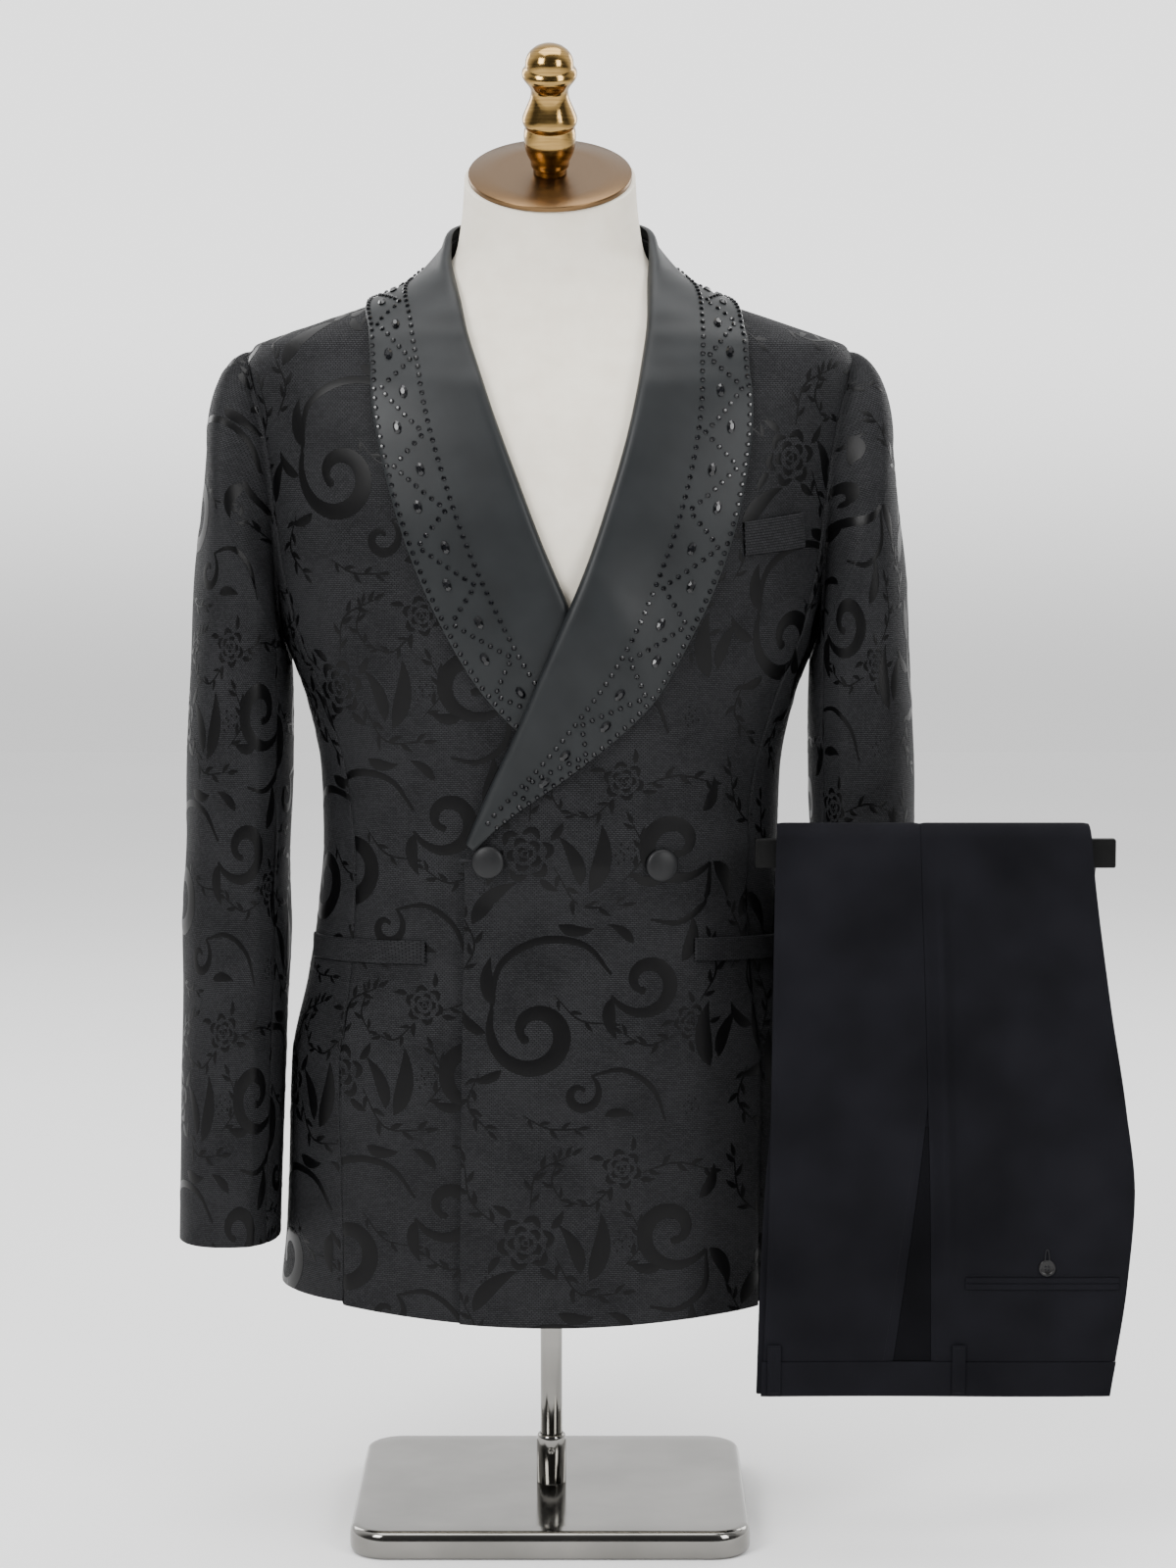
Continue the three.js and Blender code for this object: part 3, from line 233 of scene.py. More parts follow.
class Finish(Nodes):
    """A material and its shader."""

    def __init__(self, name, base, roughness, **constants):
        self.material = bpy.data.materials.new(name)
        self.material.use_nodes = True
        super().__init__(self.material.node_tree)
        self.tree.nodes.clear()
        values = {key.replace("_", " "): value for key, value in constants.items()}
        values.update({"Base Color": (*base, 1), "Roughness": roughness})
        self.shader = self.node("ShaderNodeBsdfPrincipled", values)
        self.node("ShaderNodeOutputMaterial", {"Surface": self.shader.outputs[0]})

    def paint(self, socket, value):
        self.tree.links.new(value, self.shader.inputs[socket])

    def mapped(self, source, scale, turn=0.0):
        settings = {"Vector": source, "Scale": scale, "Rotation": (0, 0, math.radians(turn))}
        return self.node("ShaderNodeMapping", settings).outputs[0]

    def place(self, stretch=1):
        """Object coordinates in metres, with Z times a stretch."""
        return self.mapped(self.node("ShaderNodeTexCoord").outputs["Object"], (1, 1, stretch))

    def cloth(self, across=1.0, up=1.0, turn=0.0):
        """The piece's own cloth map in mm, times a scale each way, turned by some degrees."""
        source = self.node("ShaderNodeUVMap", uv_map=CLOTH_MAP).outputs[0]
        return self.mapped(source, (PER_MM * across, PER_MM * up, 1), turn)

    def noise(self, coordinates, scale, detail):
        settings = {"Vector": coordinates, "Scale": scale, "Detail": detail}
        return self.node("ShaderNodeTexNoise", settings).outputs[0]

    def wave(self, coordinates, scale, distortion, detail, **settings):
        values = {"Vector": coordinates, "Scale": scale, "Distortion": distortion, "Detail": detail}
        return self.node("ShaderNodeTexWave", values, **settings).outputs[1]

    def mix(self, *parts):
        """The sum of values, each times its share, from pairs of both."""
        total = self.maths("MULTIPLY", *parts[-1])
        for value, share in parts[-2::-1]:
            total = self.maths("MULTIPLY_ADD", value, share, total)
        return total

    def colour(self, value, stops):
        self.paint("Base Color", self.ramp(value, stops))

    def roughness(self, value, low, high):
        made = self.node("ShaderNodeMapRange", {"Value": value, "To Min": low, "To Max": high})
        self.paint("Roughness", made.outputs[0])

    def relief(self, height, strength, depth):
        """A bump, depth in metres."""
        settings = {"Height": height, "Strength": strength, "Distance": depth}
        self.paint("Normal", self.node("ShaderNodeBump", settings).outputs[0])


CLOTH_MAP = "cloth"
PER_MM = 1000.0  # turns metres of the cloth map into millimetres


GROUND_STOPS = [
    (0.1, (0.0005, 0.0005, 0.0006)),
    (0.5, (0.0048, 0.0049, 0.0054)),
    (1, (0.0235, 0.0238, 0.0255)),
]


def jacquard_ground():
    """The rough ground weave: staggered grains with a fine rib in them."""
    made = Finish("jacquard_ground", (0.01, 0.0102, 0.011), 0.7, Specular_IOR_Level=0.06)
    cloth = made.cloth()
    bricks = {
        "Vector": cloth, "Color1": (0.75, 0.75, 0.75, 1), "Color2": (1, 1, 1, 1), "Mortar": (0, 0, 0, 1),
        "Scale": 1.0, "Mortar Size": 0.2, "Mortar Smooth": 0.9, "Brick Width": 2.5, "Row Height": 1.35,
    }
    grains = made.node("ShaderNodeTexBrick", bricks).outputs["Color"]
    grain = made.node("ShaderNodeSeparateColor", {"Color": grains}).outputs[0]
    made.colour(made.mix((made.noise(cloth, 0.02, 2), 0.5), (grain, 0.75)), GROUND_STOPS)
    made.roughness(grain, 0.72, 0.5)
    made.relief(grain, 0.85, 0.0005)
    return made.material


def jacquard_satin():
    """The woven motifs: smooth satin floats, deeper black than the ground."""
    made = Finish("jacquard_satin", (0.002, 0.002, 0.0022), 0.35, Specular_IOR_Level=0.14)
    thread = made.noise(made.cloth(0.9, 3.2), 1.0, 2)
    made.colour(thread, [(0.3, (0.0006, 0.0006, 0.0007)), (0.7, (0.0024, 0.0024, 0.0027))])
    made.roughness(thread, 0.3, 0.42)
    made.relief(thread, 0.35, 0.00012)
    return made.material


def lapel_satin(name, base, light):
    """Smooth duchess satin: even sheen with a very fine weave."""
    made = Finish(name, base, 0.45, Specular_IOR_Level=0.26)
    fine = made.noise(made.cloth(5.5, 1.1, 26), 1.0, 2)
    drift = made.noise(made.cloth(), 0.03, 2)
    made.colour(made.mix((fine, 0.3), (drift, 0.7)), [(0.25, base), (0.8, light)])
    made.roughness(fine, 0.4, 0.52)
    made.relief(fine, 0.22, 0.0001)
    return made.material


WOOL_TINTS = ((0.0024, 0.0024, 0.0031), (0.0112, 0.0111, 0.0142))


def wool_weave(name="wool_weave", shade=1.0):
    """Plain worsted: a fine steep twill and a little fuzz. A shade scale below 1 darkens all of it, as
    painted shade.
    """
    made = Finish(name, (0.003, 0.003, 0.004), 0.85, Specular_IOR_Level=0.05)
    twill = made.wave(made.cloth(1.9, 1.9, 55), 1.0, 0.6, 1.0)
    cloth = made.cloth()
    value = made.mix((twill, 0.25), (made.noise(cloth, 2.6, 3), 0.3), (made.noise(cloth, 0.015, 2), 0.45))
    dark, light = ([c * shade for c in tint] for tint in WOOL_TINTS)
    made.colour(value, [(0.3, dark), (0.75, light)])
    made.relief(value, 0.4, 0.00018)
    return made.material


def form_linen():
    """Cream linen stretched over the form: plain weave with slubs."""
    made = Finish("form_linen", (0.82, 0.76, 0.64), 0.82, Sheen_Weight=0.1)
    spot = made.place()
    warp, weft = (made.wave(spot, 420.0, 1.2, 2.0, bands_direction=way) for way in "XZ")
    value = made.mix((made.maths("ADD", warp, weft), 0.25), (made.noise(spot, 60.0, 4), 0.5))
    made.colour(value, [(0.2, (0.72, 0.65, 0.53)), (0.75, (0.88, 0.83, 0.72))])
    made.relief(value, 0.35, 0.0003)
    return made.material


def brushed_brass():
    """Brass with fine scratches in rings round the middle of the cap."""
    made = Finish("brushed_brass", (0.5, 0.3, 0.1), 0.27, Metallic=1.0)
    split = made.node("ShaderNodeSeparateXYZ", {"Vector": made.place()})
    across, deep = split.outputs["X"], made.maths("MULTIPLY", split.outputs["Y"], 1.1)
    squares = [made.maths("POWER", made.maths("ABSOLUTE", value), 2.0) for value in (across, deep)]
    radius = made.maths("SQRT", made.maths("ADD", *squares))
    rings = {"W": made.maths("MULTIPLY", radius, 2600.0), "Detail": 3.0}
    lines = made.node("ShaderNodeTexNoise", rings, noise_dimensions="1D").outputs[0]
    made.colour(lines, [(0.25, (0.118, 0.068, 0.031)), (0.75, (0.185, 0.112, 0.054))])
    made.roughness(lines, 0.22, 0.39)
    made.relief(lines, 0.12, 0.0001)
    return made.material


def chrome():
    made = Finish("polished_chrome", (0.60, 0.59, 0.57), 0.09, Metallic=1.0)
    spot = made.place()
    made.colour(made.noise(spot, 14.0, 3), [(0.3, (0.19, 0.185, 0.172)), (0.75, (0.27, 0.262, 0.246))])
    made.roughness(made.noise(spot, 45.0, 4), 0.06, 0.16)
    return made.material


def grained(name, base, roughness, grain, stops, span, strength=0.0, **constants):
    """A finish with one even grain, given as its stretch, scale and detail."""
    made = Finish(name, base, roughness, **constants)
    stretch, scale, detail = grain
    value = made.noise(made.place(stretch), scale, detail)
    made.colour(value, stops)
    made.roughness(value, *span)
    if strength:
        made.relief(value, strength, 0.0001)
    return made.material


def floor_paint():
    made = Finish("floor_paint", FLOOR_COLOUR, 0.75)
    low, high = (tuple(c * k for c in FLOOR_COLOUR) for k in (0.98, 1.01))
    made.colour(made.noise(made.place(), 1.5, 2), [(0.3, low), (0.7, high)])
    return made.material


make_camera()
make_lights()
make_world()
FINISH = {
    "ground": jacquard_ground(),
    "motif": jacquard_satin(),
    "satin": lapel_satin("lapel_satin", (0.0052, 0.0062, 0.0069), (0.0135, 0.0155, 0.0168)),
    "covered": lapel_satin("button_satin", (0.0042, 0.0044, 0.005), (0.009, 0.0093, 0.0102)),
    "wool": wool_weave(),
    # The pocket facing's wool, painted darker as the shade inside the pocket mouth
    "pocket_wool": wool_weave("pocket_wool", 0.45),
    "linen": form_linen(),
    "cap": brushed_brass(),
    "finial": grained(
        "polished_brass", (0.5, 0.3, 0.1), 0.12, (30, 25.0, 3),
        [(0.25, (0.23, 0.14, 0.045)), (0.75, (0.42, 0.265, 0.09))], (0.07, 0.24), 0.04, Metallic=1.0,
    ),
    "chrome": chrome(),
    "black": grained(
        "black_coat", (0.002, 0.002, 0.002), 0.55, (1, 700.0, 2),
        [(0.3, (0.001, 0.001, 0.001)), (0.8, (0.003, 0.003, 0.003))], (0.42, 0.6), 0.2,
        Specular_IOR_Level=0.12,
    ),
    "stone": grained(
        "jet_stone", (0.002, 0.0022, 0.0028), 0.08, (1, 160.0, 1),
        [(0.3, (0.0012, 0.0013, 0.0018)), (0.8, (0.005, 0.0055, 0.007))], (0.06, 0.16),
        Specular_IOR_Level=0.42,
    ),
    "horn": grained(
        "black_horn", (0.004, 0.004, 0.005), 0.35, (6, 120.0, 3),
        [(0.3, (0.002, 0.002, 0.0025)), (0.8, (0.009, 0.008, 0.008))], (0.28, 0.42), Specular_IOR_Level=0.3,
    ),
    "thread": grained(
        "sewing_thread", (0.008, 0.008, 0.009), 0.6, (1, 900.0, 2),
        [(0.3, (0.004, 0.004, 0.005)), (0.8, (0.016, 0.016, 0.018))], (0.4, 0.65), Specular_IOR_Level=0.15,
    ),
    "floor": floor_paint(),
}


# Meshes from arrays of points in millimetres


def make_mesh(name, points, faces, material, uv=None):
    """A piece from points in mm, faces and, where given, a cloth map in mm for each point."""
    mesh = bpy.data.meshes.new(name)
    mesh.from_pydata((np.asarray(points) * MM).tolist(), [], [list(map(int, f)) for f in faces])
    if uv is not None:
        layer = mesh.uv_layers.new(name=CLOTH_MAP)
        corner = np.empty(len(mesh.loops), dtype=np.int32)
        mesh.loops.foreach_get("vertex_index", corner)
        layer.data.foreach_set("uv", (np.asarray(uv)[corner] * MM).astype(np.float32).ravel())
    mesh.materials.append(FINISH[material])
    mesh.polygons.foreach_set("use_smooth", np.ones(len(mesh.polygons), dtype=bool))
    mesh.update()
    return in_scene(name, mesh)


def sided(points, side):
    """Points of the left hand side, mirrored where the side is -1."""
    return points * np.array([side, 1, 1])[: points.shape[-1]]


def settle(piece, slot, *nodes):
    """A finished piece rides on the body and stands for its solids. The slot is not used."""
    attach(piece, BODY)
    if nodes:
        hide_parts(*nodes)
    return piece


def eased(grid, reach):
    """Each row of a grid averaged with its neighbours, the first and last rows kept."""
    weights = np.hanning(2 * reach + 3)[1:-1]
    before = 2 * grid[:1] - grid[reach:0:-1]
    after = 2 * grid[-1:] - grid[-2 : -reach - 2 : -1]
    longer = np.concatenate([before, grid, after])
    moved = [w * longer[i : i + len(grid)] for i, w in enumerate(weights)]
    return sum(moved) / weights.sum()


def grid_faces(rows, cols, start=0, closed=False):
    i, j = np.meshgrid(np.arange(rows - 1), np.arange(cols if closed else cols - 1), indexing="ij")
    k = (j + 1) % cols
    quads = np.stack([i * cols + j, i * cols + k, (i + 1) * cols + k, (i + 1) * cols + j], -1)
    return quads.reshape(-1, 4) + start


def grid_normals(grid, closed=False):
    """Normals of a grid of points, as rows by columns."""
    if closed:
        across = np.roll(grid, -1, axis=1) - np.roll(grid, 1, axis=1)
    else:
        across = np.gradient(grid, axis=1)
    return unit(np.cross(across, np.gradient(grid, axis=0)))


def facing_out(points, faces):
    """Faces turned so that a closed mesh's volume is positive."""
    a, b, c = (points[faces[:, k]] for k in range(3))
    d = points[faces[:, -1]]
    volume = np.sum(a * np.cross(b, c)) + np.sum(a * np.cross(c, d))
    return faces if volume > 0 else faces[:, ::-1]


def make_shell(name, outer, inner, material, uv):
    """A wall of cloth between two grids, with a softly rounded rim, as one closed mesh."""
    rows, cols = outer.shape[:2]
    count = rows * cols
    points = [outer.reshape(-1, 3), inner.reshape(-1, 3)]
    maps = [uv.reshape(-1, 2)] * 2
    faces = [grid_faces(rows, cols), grid_faces(rows, cols, count)[:, ::-1]]
    ring = [(0, j) for j in range(cols)]
    ring += [(i, cols - 1) for i in range(1, rows)]
    ring += [(rows - 1, j) for j in range(cols - 2, -1, -1)]
    ring += [(i, 0) for i in range(rows - 2, 0, -1)]
    ring = np.array(ring)
    inward = np.stack([np.clip(ring[:, 0], 1, rows - 2), np.clip(ring[:, 1], 1, cols - 2)], -1)
    edge = outer[ring[:, 0], ring[:, 1]]
    back = inner[ring[:, 0], ring[:, 1]]
    away = unit(edge - outer[inward[:, 0], inward[:, 1]])
    thickness = np.linalg.norm(edge - back, axis=-1, keepdims=True)
    middle = (edge + back) / 2 + away * np.minimum(0.2, 0.15 * thickness)
    points.append(middle)
    maps.append(uv[ring[:, 0], ring[:, 1]])
    index = ring[:, 0] * cols + ring[:, 1]
    after = np.roll(index, -1)
    rim = 2 * count + np.arange(len(ring))
    rim_after = np.roll(rim, -1)
    faces.append(np.stack([index, rim, rim_after, after], -1))
    faces.append(np.stack([rim, index + count, after + count, rim_after], -1))
    points, faces = np.concatenate(points), np.concatenate(faces)
    return make_mesh(name, points, facing_out(points, faces), material, np.concatenate(maps))


def make_stack(name, rings, material, uv=None):
    """A closed solid from rings of points, its two ends filled to their middles."""
    rows, cols = rings.shape[:2]
    middles = np.stack([rings[0].mean(0), rings[-1].mean(0)])
    points = np.concatenate([rings.reshape(-1, 3), middles])
    faces = [list(f) for f in grid_faces(rows, cols, closed=True)]
    low, high = rows * cols, rows * cols + 1
    last = (rows - 1) * cols
    faces += [[low, (j + 1) % cols, j] for j in range(cols)]
    faces += [[high, last + j, last + (j + 1) % cols] for j in range(cols)]
    if uv is not None:
        uv = np.concatenate([uv.reshape(-1, 2), uv.reshape(-1, 2)[:2]])
    return make_mesh(name, points, faces, material, uv)


# Figure under the jacket: height, half width, depths to front and back of the side line, that
# line's y, and how square the section is
FIGURE = columns(
    [
        (150, 198, 117, 116, 4, 2.3), (213, 192, 116, 116, 4, 2.3), (340, 187, 114, 112, 4, 2.3),
        (400, 174, 111, 104, 4, 2.3), (450, 166, 109, 96, 4, 2.3), (500, 162, 108, 91, 4, 2.3),
        (550, 164, 110, 93, 5, 2.3), (600, 174, 114, 100, 5, 2.3), (660, 195, 118, 110, 5, 2.3),
        (720, 204, 119, 114, 5, 2.3), (780, 210, 111, 110, 5, 2.35), (820, 215, 97, 99, 5, 2.4),
        (838, 217, 87, 91, 6, 2.4), (851, 210, 79, 84, 6, 2.4), (857, 195, 76, 81, 6, 2.4),
        (864, 175, 72, 77, 6, 2.35), (871, 155, 69, 74, 6, 2.3), (880, 129, 66, 70, 7, 2.25),
        (889, 107, 63, 67, 7, 2.15), (904, 84, 58, 62, 8, 2.1), (925, 71, 56, 58, 8, 2),
        (960, 66, 54, 56, 8, 2),
    ],
    ["half", "front", "back", "side", "square"],
)


def depth_at(y, z, table=FIGURE):
    return np.where(y < 0, table["front"](z), table["back"](z))


def on_section(table, angle, z):
    angle, z = np.broadcast_arrays(angle, z)
    power = 2 / table["square"](z)
    depth = depth_at(np.sin(angle), z, table)
    x = table["half"](z) * powered(np.cos(angle), power)
    y = table["side"](z) + depth * powered(np.sin(angle), power)
    return np.stack([x, y, z], -1)


def on_figure(angle, z):
    return on_section(FIGURE, angle, z)


def angle_of(x, y, z):
    power = FIGURE["square"](z) / 2
    depth = depth_at(y, z)
    return np.arctan2(powered(y / depth, power), powered(x / FIGURE["half"](z), power))


def angle_at(x, z):
    """The angle where the front of the figure has a given x."""
    share = np.clip(x / FIGURE["half"](z), -1, 1)
    return -np.arccos(powered(share, FIGURE["square"](z) / 2))


def field(p):
    z = p[..., 2]
    n = FIGURE["square"](z)
    y = p[..., 1] - FIGURE["side"](z)
    depth = depth_at(y, z)
    return ((np.abs(p[..., 0]) / FIGURE["half"](z)) ** n + (np.abs(y) / depth) ** n) ** (1 / n) - 1


def outwards(p):
    """The way straight out of the figure at each point, and the field's slope that way."""
    e = 0.3
    rise = [(field(p + e * axis) - field(p - e * axis)) / (2 * e) for axis in np.eye(3)]
    way = np.stack(rise, -1)
    slope = np.linalg.norm(way, axis=-1, keepdims=True)
    return way / slope, slope


def foot(p):
    for _ in range(6):
        way, slope = outwards(p)
        p = p - way * (field(p)[..., None] / slope)
    return p


def raised(p, height):
    return p + outwards(p)[0] * np.broadcast_to(height, p.shape[:-1])[..., None]


def skin(angle, z, out=0.0):
    return raised(on_figure(angle, z), out)


def lift(p, height):
    """Moves points out until they are at least a height above the figure."""
    below = foot(p)
    now = np.sum((p - below) * outwards(below)[0], -1)
    return np.where((now < height)[..., None], raised(below, height), p)


def patch(edges, s, t):
    """A grid on the figure inside four edges, each a function of a share."""
    left, right = (on_figure(*edges[name](t))[:, None] for name in ("left", "right"))
    bottom, top = (on_figure(*edges[name](s))[None] for name in ("bottom", "top"))
    across_share, up_share = s[None, :, None], t[:, None, None]
    across = blend(left, right, across_share)
    up = blend(bottom, top, up_share)
    low, high = blend(left[:1], right[:1], across_share), blend(left[-1:], right[-1:], across_share)
    grid = foot(across + up - blend(low, high, up_share))
    grid[:, 0], grid[:, -1] = left[:, 0], right[:, 0]
    grid[0], grid[-1] = bottom[0], top[0]
    return grid


# Seams, armholes and hem

SEAM_FRONT = monotone([150, 500, 600, 700], [0.78, 0.61, 0.48, 0.39])
SEAM_BACK = monotone([150, 500, 600, 700], [0.89, 0.85, 0.63, 0.44])


def side_seam(face, z):
    return SEAM_FRONT(z) if face < 0 else SEAM_BACK(z)


def beside_seam(angle, z):
    d = 0.002
    speed = np.linalg.norm(on_figure(angle + d, z) - on_figure(angle - d, z), axis=-1) / (2 * d)
    return SEAM / 2 / speed


def beside_shoulder(z):
    return angle_of(FIGURE["half"](z), SEAM / 2, z)


def beside_centre(z):
    return math.pi / 2 - angle_of(SEAM / 2, FIGURE["back"](z), z)


def hem_z(angle):
    return SIDE_HEM_Z - np.where(np.sin(angle) < 0, HEM_DIP * np.sin(angle) ** 4, 0)


def armhole(turn, grow=0.0):
    middle, radius = (SHOULDER_Z + ARMHOLE["bottom"]) / 2, (SHOULDER_Z - ARMHOLE["bottom"]) / 2
    z = middle + (radius + grow) * np.cos(turn)
    reach = np.where(np.sin(turn) < 0, ARMHOLE["front"], ARMHOLE["back"]) + grow
    y = ARMHOLE["y"] + reach * np.sin(turn) - FIGURE["side"](z)
    depth = depth_at(y, z)
    n = FIGURE["square"](z)
    x = FIGURE["half"](z) * (1 - (np.abs(y) / depth) ** n) ** (1 / n)
    return angle_of(x, y, z), z


def find_seam_turn(face):
    low, high = math.pi / 2, math.pi
    for _ in range(40):
        middle = (low + high) / 2
        angle, z = armhole(face * middle)
        if abs(angle) > side_seam(face, z):
            low = middle
        else:
            high = middle
    return face * (low + high) / 2


SEAM_TURN = {-1: find_seam_turn(-1), 1: find_seam_turn(1)}
SEAM_SHARE = 10 / 21


def on_seam(face, share, gap):
    bottom = hem_z(face * side_seam(face, SIDE_HEM_Z))
    z = blend(bottom, armhole(SEAM_TURN[face], SEAM / 2)[1], share)
    angle = side_seam(face, z)
    return face * (angle + gap * beside_seam(angle, z)), z


def outer_edge(face):
    def edge(t):
        seam_angle, seam_z = on_seam(face, np.clip(t / SEAM_SHARE, 0, 1), 1)
        turn = blend(SEAM_TURN[face], 0, np.clip((t - SEAM_SHARE) / (1 - SEAM_SHARE), 0, 1))
        angle, z = armhole(turn, SEAM / 2)
        angle = face * np.maximum(np.abs(angle), beside_shoulder(z))
        low = t <= SEAM_SHARE
        return np.where(low, seam_angle, angle), np.where(low, seam_z, z)

    return edge


def shoulder_seam(face):
    def edge(s):
        z = blend(NECK_Z, armhole(0.0, SEAM / 2)[1], s**1.2)
        return face * beside_shoulder(z), z

    return edge


# Front edge: distance from the line where the fronts cross, which the wrap pulls to one side
CENTRE_LINE = monotone([690, 776, 845, 879, 913, 940], [14, 11.5, 6.5, 4, 1, 0])
FRONT_EDGE = monotone(
    [150, 495, 512, 544, 584, 626, 670, 713, 761, 791, 815, 848, 872],
    [-77, -71, -63, -48.5, -29.5, -11.5, 6.5, 25, 42, 52, 58.5, 66, 71],
)
WRAP = {"past": 30, "settle": 50, "low": 4, "high": 8.6}


def wrap_height(x, z):
    """How far the left front is raised by the right front and lapel that it laps over."""
    reach = CENTRE_LINE(z) - FRONT_EDGE(z) + WRAP["past"]
    across = 1 - smooth(x, reach, reach + WRAP["settle"])
    height = blend(WRAP["low"], WRAP["high"], smooth(z, 462, 494))
    return height * across * (1 - smooth(z, 660, 745))


def no_layer(x, z):
    return np.zeros(np.broadcast(x, z).shape)


# Cloth map: arc round the figure at each height, and back again

LEVELS = np.linspace(150, 945, 200)
ANGLES = np.linspace(-math.pi / 2 - 0.9, math.pi / 2 + 0.1, 500)
_rings = on_figure(ANGLES[None, :], LEVELS[:, None])
ARC = np.cumsum(np.linalg.norm(np.diff(_rings, axis=1, prepend=_rings[:, :1]), axis=-1), axis=1)
ARC -= np.stack([[np.interp(-math.pi / 2, ANGLES, row)] for row in ARC])
GIRTHS = np.linspace(-160, 640, 800)
ANGLE_OF_ARC = np.stack([np.interp(GIRTHS, row, ANGLES) for row in ARC])


def looked_up(table, row, col):
    """Bilinear values of a table at fractional rows and columns."""
    row = np.clip(row, 0, table.shape[0] - 1.001)
    col = np.clip(col, 0, table.shape[1] - 1.001)
    i, j = row.astype(int), col.astype(int)
    f, g = row - i, col - j
    if table.ndim == 3:
        f, g = f[..., None], g[..., None]
    low = table[i, j] * (1 - g) + table[i, j + 1] * g
    high = table[i + 1, j] * (1 - g) + table[i + 1, j + 1] * g
    return low * (1 - f) + high * f


def level_row(z):
    return (z - LEVELS[0]) / (LEVELS[1] - LEVELS[0])


def arc_of(angle, z):
    return looked_up(ARC, level_row(z), (angle - ANGLES[0]) / (ANGLES[1] - ANGLES[0]))


def measured_from(kind, z):
    return arc_of(np.full(np.shape(z), MEASURED_FROM[kind]), z)


# The angle that each kind of panel measures its cloth from
MEASURED_FROM = {"front": -math.pi / 2, "side": 0.0, "back": math.pi / 2}


# Jacket body panels

DIP = {"depth": 0.75, "width": 1.7}  # the cloth sinks into a seam


def edge_shares(count, width, steps=(0.5, 1.2, 2.2, 3.8, 6.5)):
    """Shares from 0 to 1, closer together near both ends of a width in mm."""
    fine = [step / width for step in steps]
    middle = np.linspace(fine[-1], 1 - fine[-1], count)[1:-1]
    return np.array([0, *fine, *middle, *[1 - f for f in fine[::-1]], 1])


def run_lengths(grid, axis):
    step = np.linalg.norm(np.diff(grid, axis=axis), axis=-1)
    start = np.zeros_like(np.take(step, [0], axis=axis))
    return np.concatenate([start, np.cumsum(step, axis=axis)], axis=axis)


def sunk(distance):
    return DIP["depth"] * np.exp(-((distance / DIP["width"]) ** 2))


def seam_dip(grid, seams):
    """How far each point of a panel sinks towards its seams."""
    across, up = run_lengths(grid, 1), run_lengths(grid, 0)
    near = {"left": across, "right": across[:, -1:] - across, "bottom": up, "top": up[-1:] - up}
    return np.max([sunk(near[name]) for name in seams], axis=0)


def ripple(kind, x, z):
    """Soft unevenness of worn cloth, in mm, so that light doesn't fall on a perfect shape."""
    if kind == "front":
        near = np.exp(-(((x - 40) / 70) ** 2) - ((z - 505) / 75) ** 2)
        pull = 0.9 * np.sin((z - 495) / 26 + x / 60) * near
        skirt = 1.1 * np.sin(x / 27 + 1.3) * smooth(400 - z, 0, 180)
        return pull + skirt + 0.5 * np.sin(x / 41 + z / 97)
    if kind == "back":
        waist = 0.8 * np.sin(z / 45 + x / 70) * smooth(z, 380, 520) * (1 - smooth(z, 560, 660))
        return 1.2 * np.sin(x / 31) * smooth(430 - z, 0, 200) + waist
    return 0.6 * np.sin(z / 58)


PANELS = {}  # name: what the motif needs to know about a panel
SIDES = {"left": 1, "right": -1}


def border_of(grid):
    return np.concatenate([grid[0], grid[1:, -1], grid[-1, -2::-1], grid[-2:0:-1, 0]])


def jacket_panel(name, kind, side, edges, rows, cols, seams, layer):
    s, t = edge_shares(cols, 230), edge_shares(rows, 700)
    base = patch(edges, s, t)
    x, z = base[..., 0], base[..., 2]
    height = layer(x, z)
    uneven = ripple(kind, x, z)
    outer = raised(base, height + CLOTH + uneven - seam_dip(base, seams))
    inner = raised(base, height + np.minimum(uneven, 0))
    angle = angle_of(x, base[..., 1] - FIGURE["side"](z), z)
    arc = arc_of(angle, z) - measured_from(kind, z)
    cloth = np.stack([arc, z], -1)
    long, wide = cloth.shape[:2]
    counts = {"bottom": wide, "right": long - 1, "top": wide - 1, "left": long - 2}
    sewn = np.concatenate([np.full(count, key in seams) for key, count in counts.items()])

    def surface(points, out):
        u, v = points[:, 0], points[:, 1]
        col = (u + measured_from(kind, v) - GIRTHS[0]) / (GIRTHS[1] - GIRTHS[0])
        below = on_figure(looked_up(ANGLE_OF_ARC, level_row(v), col), v)
        return raised(below, layer(below[:, 0], v) + CLOTH + ripple(kind, below[:, 0], v) + out)

    PANELS[name] = {"side": side, "border": border_of(cloth), "seam": sewn, "surface": surface}
    piece = make_shell(name, sided(outer, side), sided(inner, side), "ground", sided(cloth, side))
    settle(piece, "jacquard", name.replace("cloth_", ""))


def front_edges(side):
    def inner_edge(t):
        low = SIDE_HEM_Z - HEM_DIP
        neck_share = 0.8
        upper = np.clip((t - SEAM_SHARE) / (neck_share - SEAM_SHARE), 0, 1)
        z = np.where(t < SEAM_SHARE, blend(low, CHEST_Z, t / SEAM_SHARE), blend(CHEST_Z, GORGE_Z, upper))
        angle = angle_at(FRONT_EDGE(z) + side * CENTRE_LINE(z), z)
        rise = np.clip((t - neck_share) / (1 - neck_share), 0, 1)
        neck = blend(angle, -beside_shoulder(NECK_Z), rise), blend(GORGE_Z, NECK_Z, rise)
        body = angle, np.maximum(z, hem_z(angle))
        return tuple(np.where(t <= neck_share, a, b) for a, b in zip(body, neck))

    first, last = inner_edge(np.array([0.0]))[0][0], outer_edge(-1)(np.array([0.0]))[0][0]

    def bottom(s):
        angle = blend(first, last, s)
        return angle, hem_z(angle)

    return {"left": inner_edge, "right": outer_edge(-1), "bottom": bottom, "top": shoulder_seam(-1)}


